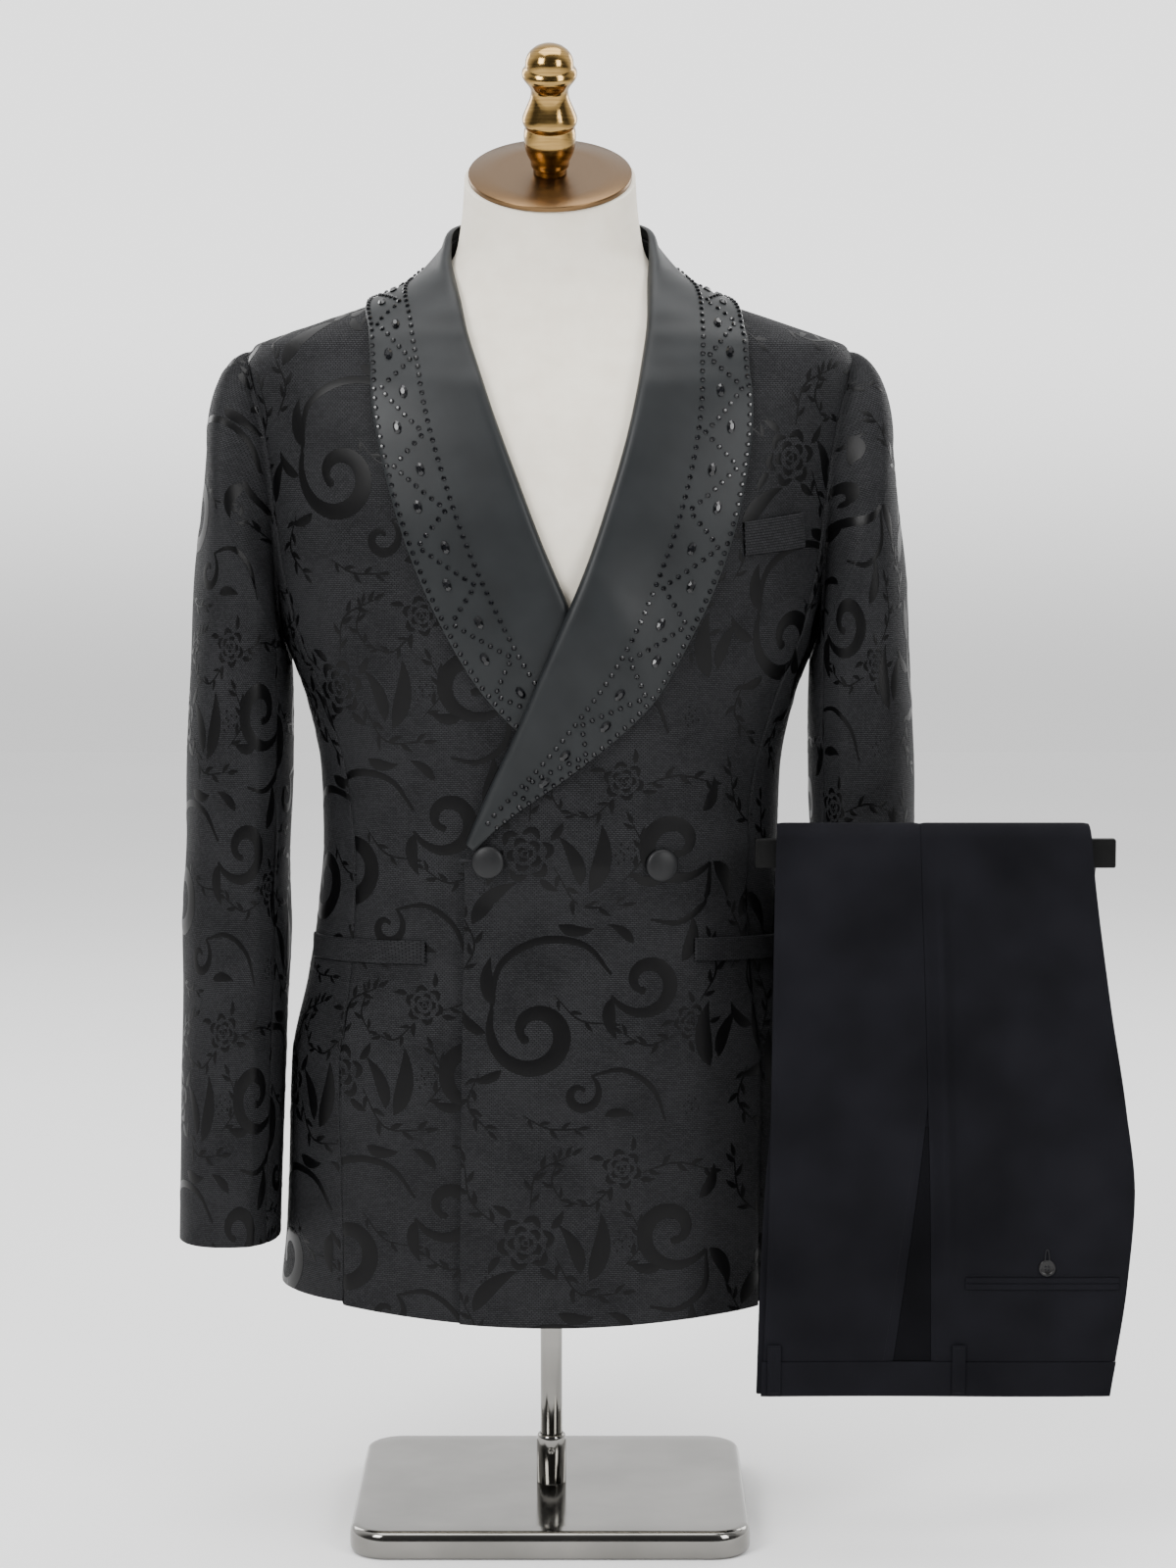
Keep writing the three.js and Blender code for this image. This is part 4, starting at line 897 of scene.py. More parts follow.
def side_edges():
    left, right = (lambda t: on_seam(-1, t, -1)), (lambda t: on_seam(1, t, -1))
    start = np.array([0.0])

    def bottom(s):
        angle = blend(left(start)[0][0], right(start)[0][0], s)
        return angle, SIDE_HEM_Z + 0 * s

    def top(s):
        turn = blend(SEAM_TURN[-1], SEAM_TURN[1] - 2 * math.pi, s)
        angle, z = armhole(turn, SEAM / 2)
        beside = beside_seam(angle, z)
        return angle + blend(beside, -beside, s), z

    return {"left": left, "right": right, "bottom": bottom, "top": top}


def back_edges():
    def centre(z):
        return math.pi / 2 - beside_centre(z)

    def left(t):
        upper = (t - SEAM_SHARE) / (1 - SEAM_SHARE)
        lower = blend(SIDE_HEM_Z, CHEST_Z, t / SEAM_SHARE)
        z = np.where(upper < 0, lower, blend(CHEST_Z, BACK_NECK_Z, upper))
        return centre(z), z

    last = outer_edge(1)(np.array([0.0]))[0][0]
    neck_share = 0.4

    def bottom(s):
        return blend(centre(SIDE_HEM_Z), last, s), SIDE_HEM_Z + 0 * s

    def top(s):
        shoulder = shoulder_seam(1)(np.clip((s - neck_share) / (1 - neck_share), 0, 1))
        share = np.clip(s / neck_share, 0, 1)
        neck = blend(centre(BACK_NECK_Z), beside_shoulder(NECK_Z), share), blend(BACK_NECK_Z, NECK_Z, share)
        return tuple(np.where(s > neck_share, a, b) for a, b in zip(shoulder, neck))

    return {"left": left, "right": outer_edge(1), "bottom": bottom, "top": top}


PANEL_ROWS = 130
for hand, side in SIDES.items():
    cover = wrap_height if side > 0 else no_layer
    for kind, edges, rows, cols, seams in (
        ("front", front_edges(side), PANEL_ROWS, 50, ("right", "top")),
        ("side", side_edges(), PANEL_ROWS * 3 // 4, 22, ("left", "right", "top")),
        ("back", back_edges(), PANEL_ROWS, 46, ("left", "right", "top")),
    ):
        layer = cover if kind == "front" else no_layer
        jacket_panel(f"cloth_{kind}_{hand}", kind, side, edges, rows, cols, seams, layer)


# Sleeves: level sections by how far they reach to the body, outwards, forwards and back
SLEEVE = columns(
    [
        (213, 196.5, 269, -74, 22), (260, 195, 268, -74, 27), (340, 192, 266.5, -73, 36),
        (425, 189, 265, -71, 46), (510, 187.5, 263, -69, 53), (595, 186, 260, -68, 61),
        (640, 187, 257, -67, 65), (690, 188, 255, -66, 67), (740, 189, 250, -65, 67),
        (800, 190, 244, -60, 62),
    ],
    ["medial", "lateral", "front", "back"],
)
SLEEVE_SQUARE = 2.35
HEAD_RISE = {"top": 62, "underarm": 14}
CREASE = {"turn": -2.0, "height": 1.5, "width": 0.16}  # pressed along the front of the sleeve


def sleeve_tube(turn, z):
    def share(v):
        return (1 + powered(v, 2 / SLEEVE_SQUARE)) / 2

    x = blend(SLEEVE["medial"](z), SLEEVE["lateral"](z), share(np.cos(turn)))
    y = blend(SLEEVE["front"](z), SLEEVE["back"](z), share(np.sin(turn)))
    return np.stack([x, y, z + 0 * turn], -1)


def sleeve_end(turn):
    fold = smooth(np.abs(math.pi - np.abs(turn)), 0.5, 1.2)

    def at(inside, out):
        return skin(*armhole(turn, -SEAM / 2 - inside), out)

    seam = at(0 * fold, CLOTH + 0 * fold), at(blend(1.6, 0, fold), 0 * fold)
    outer_bend = at(blend(0.1, 3, fold), blend(CLOTH + 0.8, CLOTH, fold))
    return seam, (outer_bend, at(blend(2.6, 3, fold), blend(CLOTH + 0.8, 0, fold)))


SLEEVE_SEAMS = {
    "front": SEAM_TURN[1] + (SEAM_TURN[-1] + 2 * math.pi - SEAM_TURN[1]) * 4 / 6 - 2 * math.pi,
    "back": SEAM_TURN[1] * 10 / 11,
}


def sleeve_turns(count):
    """Turns round a sleeve from its front seam, up the front, down the back and under the arm."""
    front, back = SLEEVE_SEAMS["front"], SLEEVE_SEAMS["back"]
    upper = np.linspace(front, back, 2 * count)
    under = np.linspace(back, front + 2 * math.pi, count)[1:-1]
    beside = 0.02
    near = [front + beside, back - beside, back + beside, front + 2 * math.pi - beside]
    return np.unique(np.round(np.concatenate([upper, under, near]), 6)), 2 * count + 1


def sleeve_rings(turns, tube_rows, head_rows):
    """Outer and inner rings of a sleeve from the cuff to the armhole seam."""
    seam, bend = sleeve_end(turns)
    lean = ((1 + np.cos(turns)) / 2) ** 1.3
    start_z = bend[0][:, 2] - blend(HEAD_RISE["underarm"], HEAD_RISE["top"], lean)
    rings = []
    for share in np.concatenate([[0, 0.0012, 0.003], np.linspace(0.008, 1, tube_rows)]):
        z = blend(CUFF_Z, start_z, share)
        p = sleeve_tube(turns, z)
        way = np.stack([np.cos(turns), np.sin(turns), 0 * turns], -1)
        away = (turns - CREASE["turn"]) / CREASE["width"]
        crease = CREASE["height"] * np.exp(-np.sqrt(away * away + 0.04)) * (1 - smooth(z, 560, 680))
        elbow = 1.1 * np.sin(z / 21 + 2.2 * turns) * np.exp(-(((z - 470) / 85) ** 2))
        upper = 0.9 * np.sin(z / 33 - 3 * turns) * smooth(z, 560, 660)
        rings.append(lift(p + way * (crease + elbow + upper)[:, None], CLOTH + 1.6))
    start = sleeve_tube(turns, start_z)
    for a in np.linspace(0, math.pi / 2, head_rows + 1)[1:-1]:
        p = blend(start, bend[0], 1 - math.cos(a))
        p[:, 2] = blend(start[:, 2], bend[0][:, 2], math.sin(a))
        rings.append(lift(p, CLOTH + 1.4))
    rings += [bend[0], seam[0]]
    outer = np.array(rings)
    inner = outer - grid_normals(outer, closed=True) * CLOTH
    inner[-2], inner[-1] = bend[1], seam[1]
    return outer, inner


def drawn_in(grid):
    """Moves a sleeve part's first and last columns in by part of a seam."""
    grid = grid.copy()
    for edge, beside in ((0, 1), (-1, -2)):
        grid[:, edge] += unit(grid[:, beside] - grid[:, edge]) * SEAM / 2
    return grid


def make_sleeves():
    turns, last = sleeve_turns(36)
    outer, inner = sleeve_rings(turns, 110, 20)
    around = {"upper": np.arange(last + 1), "under": np.append(np.arange(last, len(turns)), 0)}
    for part, picked in around.items():
        out, back = drawn_in(outer[:, picked]), drawn_in(inner[:, picked])
        middle = out.shape[0] // 2
        girth = run_lengths(out[middle][None], 1)[0]
        length = run_lengths(out, 0)
        cloth = np.stack([np.broadcast_to(girth, length.shape), length], -1)
        sink = np.maximum(sunk(girth), sunk(girth[-1] - girth))[None, :, None]
        normals = grid_normals(out)
        shown = out - normals * sink
        border = border_of(cloth)
        sewn = np.zeros(len(border), bool)

        def surface(points, out_by, shown=shown, normals=normals, girth=girth, length=length):
            col = np.interp(points[:, 0], girth, np.arange(len(girth)))
            whole = np.clip(col.astype(int), 0, len(girth) - 2)
            row = np.empty(len(points))
            for j in np.unique(whole):
                here = whole == j
                up = points[here, 1]
                rows = [np.interp(up, length[:, k], np.arange(len(length))) for k in (j, j + 1)]
                row[here] = blend(rows[0], rows[1], col[here] - j)
            return looked_up(shown, row, col) + unit(looked_up(normals, row, col)) * out_by[:, None]

        for hand, side in SIDES.items():
            name = f"cloth_sleeve_{part}_{hand}"
            PANELS[name] = {"side": side, "border": border, "seam": sewn, "surface": surface}
            piece = make_shell(name, sided(shown, side), sided(back, side), "ground", sided(cloth, side))
            settle(piece, "jacquard", f"sleeve_{part}_{hand}")


make_sleeves()


# Shawl lapels: roll and outer edge, as distances from the crossing line and heights
LAPEL = [
    (0, -69, 508, -64, 503), (0.04, -61, 528, -48, 523), (0.08, -54, 546, -30, 534),
    (0.15, -40, 575, 0, 556), (0.23, -25, 610, 31, 582), (0.31, -10, 645, 60, 611), (0.39, 5, 681, 83, 650),
    (0.46, 19, 714, 101, 687), (0.53, 31, 750, 115, 727), (0.59, 42, 781, 125, 768),
    (0.65, 52, 815, 131, 806), (0.7, 60, 848, 130, 838), (0.75, 65.5, 879, 127, 862),
]
# The same round the neck, as angles from the side of the figure
COLLAR = [
    (0.8, -0.42, 912, 0.02, 882), (0.86, 0.1, 935, 0.4, 887), (0.93, 0.85, 943, 0.95, 893),
    (1, math.pi / 2, 945, math.pi / 2, 896),
]


def shawl_lines(side, t):
    rows = []
    for share, roll, roll_z, edge, edge_z in LAPEL:
        ends = ((roll, roll_z), (edge, edge_z))
        angles = [float(angle_at(d + side * CENTRE_LINE(z), z)) for d, z in ends]
        rows.append((share, angles[0], roll_z, angles[1], edge_z))
    table = columns(rows + COLLAR, ["roll", "roll_z", "edge", "edge_z"])
    roll = on_figure(table["roll"](t), table["roll_z"](t))
    edge = on_figure(table["edge"](t), table["edge_z"](t))
    return roll, edge


SHAWLS = {}


def make_shawl(hand, side):
    t = np.concatenate([np.linspace(0, 0.64, 70)[:-1], np.linspace(0.64, 1, 80)])
    t = np.concatenate([[0, 0.001, 0.003], t[1:]])
    roll, edge = (eased(line, 7) for line in shawl_lines(side, t))
    width = np.linalg.norm(edge - roll, axis=-1)
    rolled = np.minimum(ROLL_RADIUS / width, 0.3)[:, None]
    steps = np.array([0, 0.04, 0.12, 0.25, 0.42, 0.65, 1])
    flat = np.concatenate([np.linspace(0, 1, 24)[1:-1], [0.985, 0.995, 1]])
    shares = np.concatenate([steps[None] * rolled, blend(rolled, 1, flat[None])], axis=1)
    grid = blend(roll[:, None], edge[:, None], shares[..., None])
    grid[-1, :, 0] += SEAM / 2
    rise = np.sqrt(1 - (1 - np.minimum(shares / rolled, 1)) ** 2)
    wrap = wrap_height(grid[..., 0], grid[..., 2]) if side > 0 else 0
    billow = 0.7 * np.sin(math.pi * np.clip(shares, 0, 1)) * np.sin(t * 19 + 1)[:, None] * rise
    height = wrap + blend(0.3, CLOTH + LAPEL_LAYER, rise) + np.maximum(billow, 0)
    under = lift(eased(lift(grid, height), 6), height)
    normals = grid_normals(under)
    if np.mean(normals[:70, :, 1]) > 0:
        normals = -normals
    tip = smooth(shares * width[:, None], 0, 2) * smooth((1 - shares) * width[:, None], 0, 1.6)
    outer = under + normals * (CLOTH - 0.7 + 0.7 * tip)[..., None]
    along, across = run_lengths(under, 0), run_lengths(under, 1)
    cloth = np.stack([across, along], -1)
    SHAWLS[hand] = {"t": t, "shares": shares, "outer": outer, "normals": normals, "side": side}
    piece = make_shell(f"satin_shawl_{hand}", sided(outer, side), sided(under, side), "satin", cloth)
    settle(piece, "satin", f"shawl_{hand}")


for hand, side in SIDES.items():
    make_shawl(hand, side)


# Collar stand inside the rolled collar
STAND = columns(
    [(-0.25, 901.5, 909), (0, 904.9, 924), (0.85, 907, 934), (math.pi / 2, 908.7, 936)],
    ["low", "high"],
)


def make_collar_stand():
    angle = np.linspace(-0.25, math.pi + 0.25, 90)
    share = np.array([0, 0.02, 0.06, 0.2, 0.4, 0.6, 0.8, 0.94, 0.98, 1])
    near = np.minimum(angle, math.pi - angle)
    z = blend(STAND["low"](near)[None], STAND["high"](near)[None], share[:, None])
    base = on_figure(angle[None], z)
    cloth = np.stack([run_lengths(base, 1), z], -1)
    piece = make_shell("cloth_collar_stand", raised(base, CLOTH), base, "ground", cloth)
    settle(piece, "jacquard", "collar_stand")


make_collar_stand()


# Welts on the fronts: corners as x and height seen from in front, with the clear height below
WELTS = {
    "hip_welt_left": {"side": 1, "inner": (99, 99, 423, 439), "outer": (161, 161, 418, 434), "clear": 0.9},
    "hip_welt_right": {"side": -1, "inner": (86, 86, 421, 437), "outer": (167, 167, 416, 432), "clear": 1.1},
    "breast_welt": {"side": 1, "inner": (135, 134, 707, 730), "outer": (177, 175, 712, 736), "clear": 0.7},
}
WELT_HEIGHT = 1.6


def welt_point(spec, s, t, out):
    """A point of a welt: s from its inner to its outer end, t from its lower to its upper edge."""
    ends = []
    z = 0
    for k in (2, 3):
        level = blend(spec["inner"][k], spec["outer"][k], s)
        z = level if k == 2 else blend(z, level, t)
    for corner in (spec["inner"], spec["outer"]):
        ends.append(angle_at(blend(corner[0], corner[1], t), z))
    base = on_figure(blend(ends[0], ends[1], s), z)
    layer = wrap_height(base[..., 0], z) if spec["side"] > 0 else 0
    return raised(base, layer + CLOTH + spec["clear"] + out)


def make_welts():
    size = (60, 17)
    steps = (0.4, 1.0, 1.8)
    grid_s, grid_t = np.meshgrid(edge_shares(26, size[0], steps), edge_shares(9, size[1], steps))
    near = [3 * n * np.minimum(grid, 1 - grid) for n, grid in zip(size, (grid_s, grid_t))]
    dip = np.maximum(sunk(near[0]), sunk(near[1]))
    cloth = np.stack([grid_s * 62, grid_t * 17], -1)
    for name, spec in WELTS.items():
        walls = [welt_point(spec, grid_s, grid_t, out) for out in (WELT_HEIGHT - 0.8 * dip, 0)]
        outer, inner = (sided(wall, spec["side"]) for wall in walls)
        settle(make_shell(f"cloth_{name}", outer, inner, "ground", cloth), "jacquard", name)


make_welts()


# Geometry Nodes trees


class Growth(Nodes):
    """A geometry tree with named inputs that ends in real geometry with a material."""

    def __init__(self, name, sizes):
        super().__init__(bpy.data.node_groups.new(name, "GeometryNodeTree"))
        face = self.tree.interface
        face.new_socket("Geometry", in_out="INPUT", socket_type="NodeSocketGeometry")
        for key, default in sizes.items():
            made = face.new_socket(key, in_out="INPUT", socket_type="NodeSocketFloat")
            made.default_value = default
        face.new_socket("Material", in_out="INPUT", socket_type="NodeSocketMaterial")
        face.new_socket("Geometry", in_out="OUTPUT", socket_type="NodeSocketGeometry")
        self.size = self.node("NodeGroupInput").outputs

    def part(self, kind, inputs, **settings):
        return self.node(kind, inputs, **settings).outputs[0]

    def times(self, *values):
        return self.maths("MULTIPLY", *values)

    def attribute(self, name):
        made = self.node("GeometryNodeInputNamedAttribute", {"Name": name}, data_type="FLOAT_VECTOR")
        return made.outputs["Attribute"]

    def joined(self, *parts):
        both = self.node("GeometryNodeJoinGeometry")
        for part in parts:
            self.tree.links.new(part, both.inputs[0])
        return both.outputs[0]

    def finish(self, geometry):
        real = self.part("GeometryNodeRealizeInstances", {"Geometry": geometry})
        painted = {"Geometry": real, "Material": self.size["Material"]}
        self.node("NodeGroupOutput", {0: self.part("GeometryNodeSetMaterial", painted)})
        return self.tree


def grow(name, source, tree, sizes, material):
    """The plain piece that a tree makes from a source object, which is then removed."""
    modifier = source.modifiers.new("growth", "NODES")
    modifier.node_group = tree
    values = {**sizes, "Material": FINISH[material]}
    for item in tree.interface.items_tree:
        if item.in_out == "INPUT" and item.name in values:
            modifier[item.identifier] = values[item.name]
    seen = source.evaluated_get(bpy.context.evaluated_depsgraph_get())
    mesh = bpy.data.meshes.new_from_object(seen)
    mesh.name = name
    bpy.data.objects.remove(source)
    return in_scene(name, mesh)


def guide(points, edges, **vectors):
    """Points in mm, and edges where given, that carry a vector or more at each point."""
    mesh = bpy.data.meshes.new("guide")
    mesh.from_pydata([tuple(p) for p in np.asarray(points) * MM], edges, [])
    for key, values in vectors.items():
        layer = mesh.attributes.new(key, "FLOAT_VECTOR", "POINT")
        layer.data.foreach_set("vector", np.asarray(values, dtype=np.float32).ravel())
    return in_scene("guide", mesh)


def guide_lines(lines, normals):
    starts = np.cumsum([0] + [len(line) for line in lines])
    edges = [(i, i + 1) for a, b in zip(starts[:-1], starts[1:]) for i in range(a, b - 1)]
    return guide(np.concatenate(lines), edges, facing=np.concatenate(normals))


STONE_SIDES = 8


def stone_shape(growth):
    """A cut stone: a low crown over a short girdle."""
    radius, height = growth.size["Radius"], growth.size["Height"]
    parts = []
    for top, bottom, depth, start in ((1.0, 0.92, 0.35, 0.0), (0.5, 1.0, 0.65, 0.35)):
        radii = {"Radius Top": growth.times(radius, top), "Radius Bottom": growth.times(radius, bottom)}
        cone = {"Vertices": STONE_SIDES, "Depth": growth.times(height, depth), **radii}
        up = growth.part("ShaderNodeCombineXYZ", {"Z": growth.times(height, start)})
        moved = {"Geometry": growth.part("GeometryNodeMeshCone", cone), "Translation": up}
        parts.append(growth.part("GeometryNodeTransform", moved))
    long_way = growth.part("ShaderNodeCombineXYZ", {"X": growth.size["Stretch"], "Y": 1.0, "Z": 1.0})
    return growth.part("GeometryNodeTransform", {"Geometry": growth.joined(*parts), "Scale": long_way})


def stitch_shape(growth):
    """A slim bead that half sinks into the cloth."""
    bead = growth.part("GeometryNodeMeshUVSphere", {"Segments": 6, "Rings": 4, "Radius": 0.5})
    thick = growth.size["Thickness"]
    size = growth.part("ShaderNodeCombineXYZ", {"X": growth.size["Length"], "Y": thick, "Z": thick})
    return growth.part("GeometryNodeTransform", {"Geometry": bead, "Scale": size})


def set_along(name, sizes, shape):
    """Small shapes square to a surface, spaced along lines on it or one on each point."""
    growth = Growth(name, sizes)
    spots = growth.size["Geometry"]
    if "Spacing" in sizes:
        line = growth.part("GeometryNodeMeshToCurve", {"Mesh": spots})
        spacing = {"Curve": line, "Length": growth.size["Spacing"]}
        spots = growth.part("GeometryNodeResampleCurve", spacing, mode="LENGTH")
        along = growth.part("GeometryNodeInputTangent", {})
    else:
        along = growth.attribute("along")
    axes = {"Primary Axis": growth.attribute("facing"), "Secondary Axis": along}
    turn = growth.part("FunctionNodeAxesToRotation", axes, primary_axis="Z", secondary_axis="X")
    each = {"Points": spots, "Instance": shape(growth), "Rotation": turn}
    return growth.finish(growth.part("GeometryNodeInstanceOnPoints", each))


def motif_tree():
    """Strokes with their own widths become crowned ribbons, repeated over a cloth's width."""
    growth = Growth("motif_repeat", WOVEN)
    size = growth.size
    stroke = {"Curve": size["Geometry"], "Length": size["Step"]}
    stroke = growth.part("GeometryNodeResampleCurve", stroke, mode="LENGTH")
    stroke = growth.part("GeometryNodeSetCurveNormal", {"Curve": stroke}, mode="Z_UP")
    # The profile's Y points down into the cloth, so the crown is taken the other way
    crown = growth.part("ShaderNodeCombineXYZ", {"Y": growth.times(size["Crown"], -1.0)})
    halves = [{"Start": (-1.0, 0.0, 0.0), "End": crown}, {"Start": crown, "End": (1.0, 0.0, 0.0)}]
    profile = growth.joined(*(growth.part("GeometryNodeCurvePrimitiveLine", half) for half in halves))
    width = growth.part("GeometryNodeInputRadius", {})
    ribbon = {"Curve": stroke, "Profile Curve": profile, "Scale": width}
    ribbon = growth.part("GeometryNodeCurveToMesh", ribbon)
    ribbon = growth.part("GeometryNodeMergeByDistance", {"Geometry": ribbon, "Distance": 0.0005})
    grid = {"Vertices X": size["Across"], "Vertices Y": size["Up"]}
    for key, pitch, count in (("Size X", "Repeat Width", "Across"), ("Size Y", "Repeat Height", "Up")):
        grid[key] = growth.times(size[pitch], growth.maths("SUBTRACT", size[count], 1.0))
    spots = {"Points": growth.part("GeometryNodeMeshGrid", grid), "Instance": ribbon}
    return growth.finish(growth.part("GeometryNodeInstanceOnPoints", spots))


# Woven motif: scrolls, leaves, sprigs and roses laid out in one repeat of the cloth

# The strokes are set out on a 250 by 360 mm repeat, then brought to the woven size
WOVEN_SCALE = 0.76
WOVEN = {"Repeat Width": 190.0, "Repeat Height": 273.6, "Across": 5.0, "Up": 5.0, "Step": 2.0, "Crown": 0.06}


def leaf(x, y, heading, length, width, bend=0.0):
    """A pointed leaf from its foot: heading and bend in degrees, sizes in mm."""
    t = np.linspace(0, 1, 9)
    angle = np.radians(heading + bend * t)
    step = length / 8
    px = x + np.concatenate([[0], np.cumsum(np.cos(angle[:-1]) * step)])
    py = y + np.concatenate([[0], np.cumsum(np.sin(angle[:-1]) * step)])
    radius = width / 2 * np.sin(math.pi * t**0.75) ** 0.9
    return np.stack([px, py, np.maximum(radius, 0.12)], -1)


def scroll(x, y, size, start, turns, width, hand=1):
    """A scroll that swells on its back and winds in, thinner, to a round eye."""
    t = np.linspace(0, 1, 90)
    angle = math.radians(start) + hand * 2 * math.pi * turns * t
    radius = size * (1 - 0.8 * t**0.8)
    swell = np.sin(math.pi * (0.03 + 0.86 * t)) ** 0.8
    body = width / 2 * swell * (1 - 0.62 * t) * np.sqrt(np.clip((1 - t) / 0.04, 0, 1))
    eye = width * 0.19 * np.sqrt(np.clip(1 - ((t - 0.94) / 0.055) ** 2, 0, 1))
    return np.stack([x + radius * np.cos(angle), y + radius * np.sin(angle), np.maximum(body, eye)], -1)


def stem(points, width):
    line = rounded_line(points, 26)
    t = np.linspace(0, 1, len(line))
    return np.concatenate([line, (width / 2 * (0.35 + 0.65 * np.sin(math.pi * t)))[:, None]], 1)


def sprig(points, width, leaves, size):
    """A stem with leaves that leave it on alternate sides."""
    line = rounded_line(points, 40)
    made = [stem(points, width)]
    for k in range(leaves):
        i = int(4 + (len(line) - 8) * k / max(leaves - 1, 1))
        way = line[min(i + 1, len(line) - 1)] - line[i - 1]
        heading = math.degrees(math.atan2(way[1], way[0]))
        lean = 48 if k % 2 else -48
        length = size * (1 - 0.25 * abs(k / max(leaves - 1, 1) - 0.5))
        made.append(leaf(line[i, 0], line[i, 1], heading + lean, length, length * 0.34, -lean * 0.5))
    tip = line[-1] - line[-3]
    heading = math.degrees(math.atan2(tip[1], tip[0]))
    made.append(leaf(*line[-1], heading, size * 0.9, size * 0.3, 12))
    return made


PETALS = [(3, 0.2, 0.15), (5, 0.47, 0.2), (6, 0.8, 0.24)]  # count, radius and width of each ring
THINNEST = 0.12


def rose(x, y, size, turn=0.0):
    """Petals as crescents in rings round a small heart, with leaves behind."""
    made = []
    t = np.linspace(-1, 1, 11)
    for ring, (count, share, thick) in enumerate(PETALS):
        for k in range(count):
            angle = math.radians(turn + 360 * k / count + 31 * ring) + 2 * math.pi / count * 0.42 * t
            radius = size * share * (1 + 0.1 * np.cos(math.pi * t))
            body = np.maximum(size * thick / 2 * np.cos(t * math.pi / 2) ** 0.7, THINNEST)
            made.append(np.stack([x + radius * np.cos(angle), y + radius * np.sin(angle), body], -1))
    made.append(np.array([[x - 0.06 * size, y, size * 0.07], [x + 0.06 * size, y, size * 0.07]]))
    for heading in (turn + 20, turn + 110, turn + 200, turn + 290):
        way = math.radians(heading)
        at = x + size * math.cos(way), y + size * math.sin(way)
        made.append(leaf(*at, heading + 12, size * 0.75, size * 0.27, 35))
    return made


def berries(x, y, size, count):
    made = []
    for k in range(count):
        angle, radius = 2.4 * k, size * math.sqrt(k / count)
        px, py = x + radius * math.cos(angle), y + radius * math.sin(angle)
        made.append(np.array([[px - 0.7, py, 1.2], [px, py, 2.3], [px + 0.7, py, 1.2]]))
    return made


# One repeat of the cloth. Scrolls: place, size, start, turns, width and hand
SCROLLS = [
    (70, 96, 44, 150, 1.25, 23, 1), (172, 142, 34, 200, 1.2, 19, 1), (196, 270, 38, -30, 1.2, 21, -1),
    (112, 40, 20, 60, 1.1, 12, -1),
]
STEMS = [
    ([(31, 118), (40, 160), (78, 182), (118, 176), (140, 150)], 7),
    ([(229, 251), (226, 214), (200, 196), (176, 200)], 6),
    ([(122, 57), (150, 62), (178, 44), (190, 14)], 5),
]
# Leaves: foot, heading, length, width and bend
LEAVES = [
    (34, 122, 118, 46, 13, -55), (26, 96, 165, 34, 10, -70), (40, 62, 225, 30, 9, -60),
    (141, 128, 250, 40, 12, 60), (205, 160, 55, 44, 13, 50), (160, 178, 120, 30, 9, 50),
    (232, 252, -40, 42, 13, -55), (222, 300, 40, 36, 11, 60), (120, 226, 62, 66, 17, 42),
    (112, 232, 92, 52, 13, 48), (14, 196, 66, 58, 15, -50), (232, 62, 112, 62, 16, -48),
    (240, 70, 84, 46, 12, -40), (186, 238, 200, 30, 10, -60), (92, 196, -30, 34, 11, 55),
    (134, 20, 20, 28, 9, -50),
]
ROSES = [(62, 262, 27, 10), (150, 330, 19, 40), (214, 104, 17, 65)]
# Sprigs: three points of the stem, its width, the number of leaves and their size
SPRIGS = [
    ([(88, 250), (112, 214), (150, 214)], 1.8, 6, 15), ([(38, 276), (12, 300), (6, 336)], 1.8, 6, 15),
    ([(66, 292), (72, 326), (104, 344)], 1.8, 6, 14), ([(168, 326), (200, 334), (232, 326)], 1.8, 5, 14),
    ([(140, 312), (118, 296), (104, 300)], 1.6, 4, 12), ([(198, 92), (172, 84), (150, 96)], 1.6, 5, 13),
    ([(222, 122), (238, 150), (232, 180)], 1.8, 5, 14), ([(20, 60), (10, 28), (28, 6)], 1.8, 6, 14),
    ([(60, 20), (84, 8), (110, 8)], 1.6, 5, 12), ([(150, 236), (168, 262), (158, 290)], 1.6, 6, 14),
    ([(88, 132), (112, 108), (138, 104)], 1.6, 4, 12), ([(4, 150), (16, 176), (4, 206)], 1.8, 5, 14),
    ([(96, 300), (86, 318), (92, 340)], 1.6, 4, 12),
]
BERRIES = [(150, 262, 11, 9), (28, 226, 9, 7), (214, 28, 10, 8)]


def motif_strokes():
    made = []
    for draw, rows in ((scroll, SCROLLS), (stem, STEMS), (leaf, LEAVES)):
        made += [draw(*row) for row in rows]
    for draw, rows in ((rose, ROSES), (sprig, SPRIGS), (berries, BERRIES)):
        for row in rows:
            made += draw(*row)
    return made


def motif_source():
    data = bpy.data.curves.new("strokes", "CURVE")
    data.dimensions = "3D"
    for stroke in motif_strokes():
        spline = data.splines.new("POLY")
        spline.points.add(len(stroke) - 1)
        x, y, radius = stroke.T.astype(float) * WOVEN_SCALE
        flat = np.stack([x, y, 0 * x, 0 * x + 1], -1)
        spline.points.foreach_set("co", flat.astype(np.float32).ravel())
        spline.points.foreach_set("radius", radius.astype(np.float32))
    return in_scene("strokes", data)


def woven_cloth():
    """The motif over a wide cloth: points with their height, and faces."""
    flat = grow("woven", motif_source(), motif_tree(), WOVEN, "motif")
    points = np.empty(len(flat.data.vertices) * 3, dtype=np.float32)
    flat.data.vertices.foreach_get("co", points)
    faces = [list(p.vertices) for p in flat.data.polygons]
    bpy.data.objects.remove(flat)
    return points.reshape(-1, 3).astype(float), np.array([f if len(f) == 4 else f + [f[-1]] for f in faces])


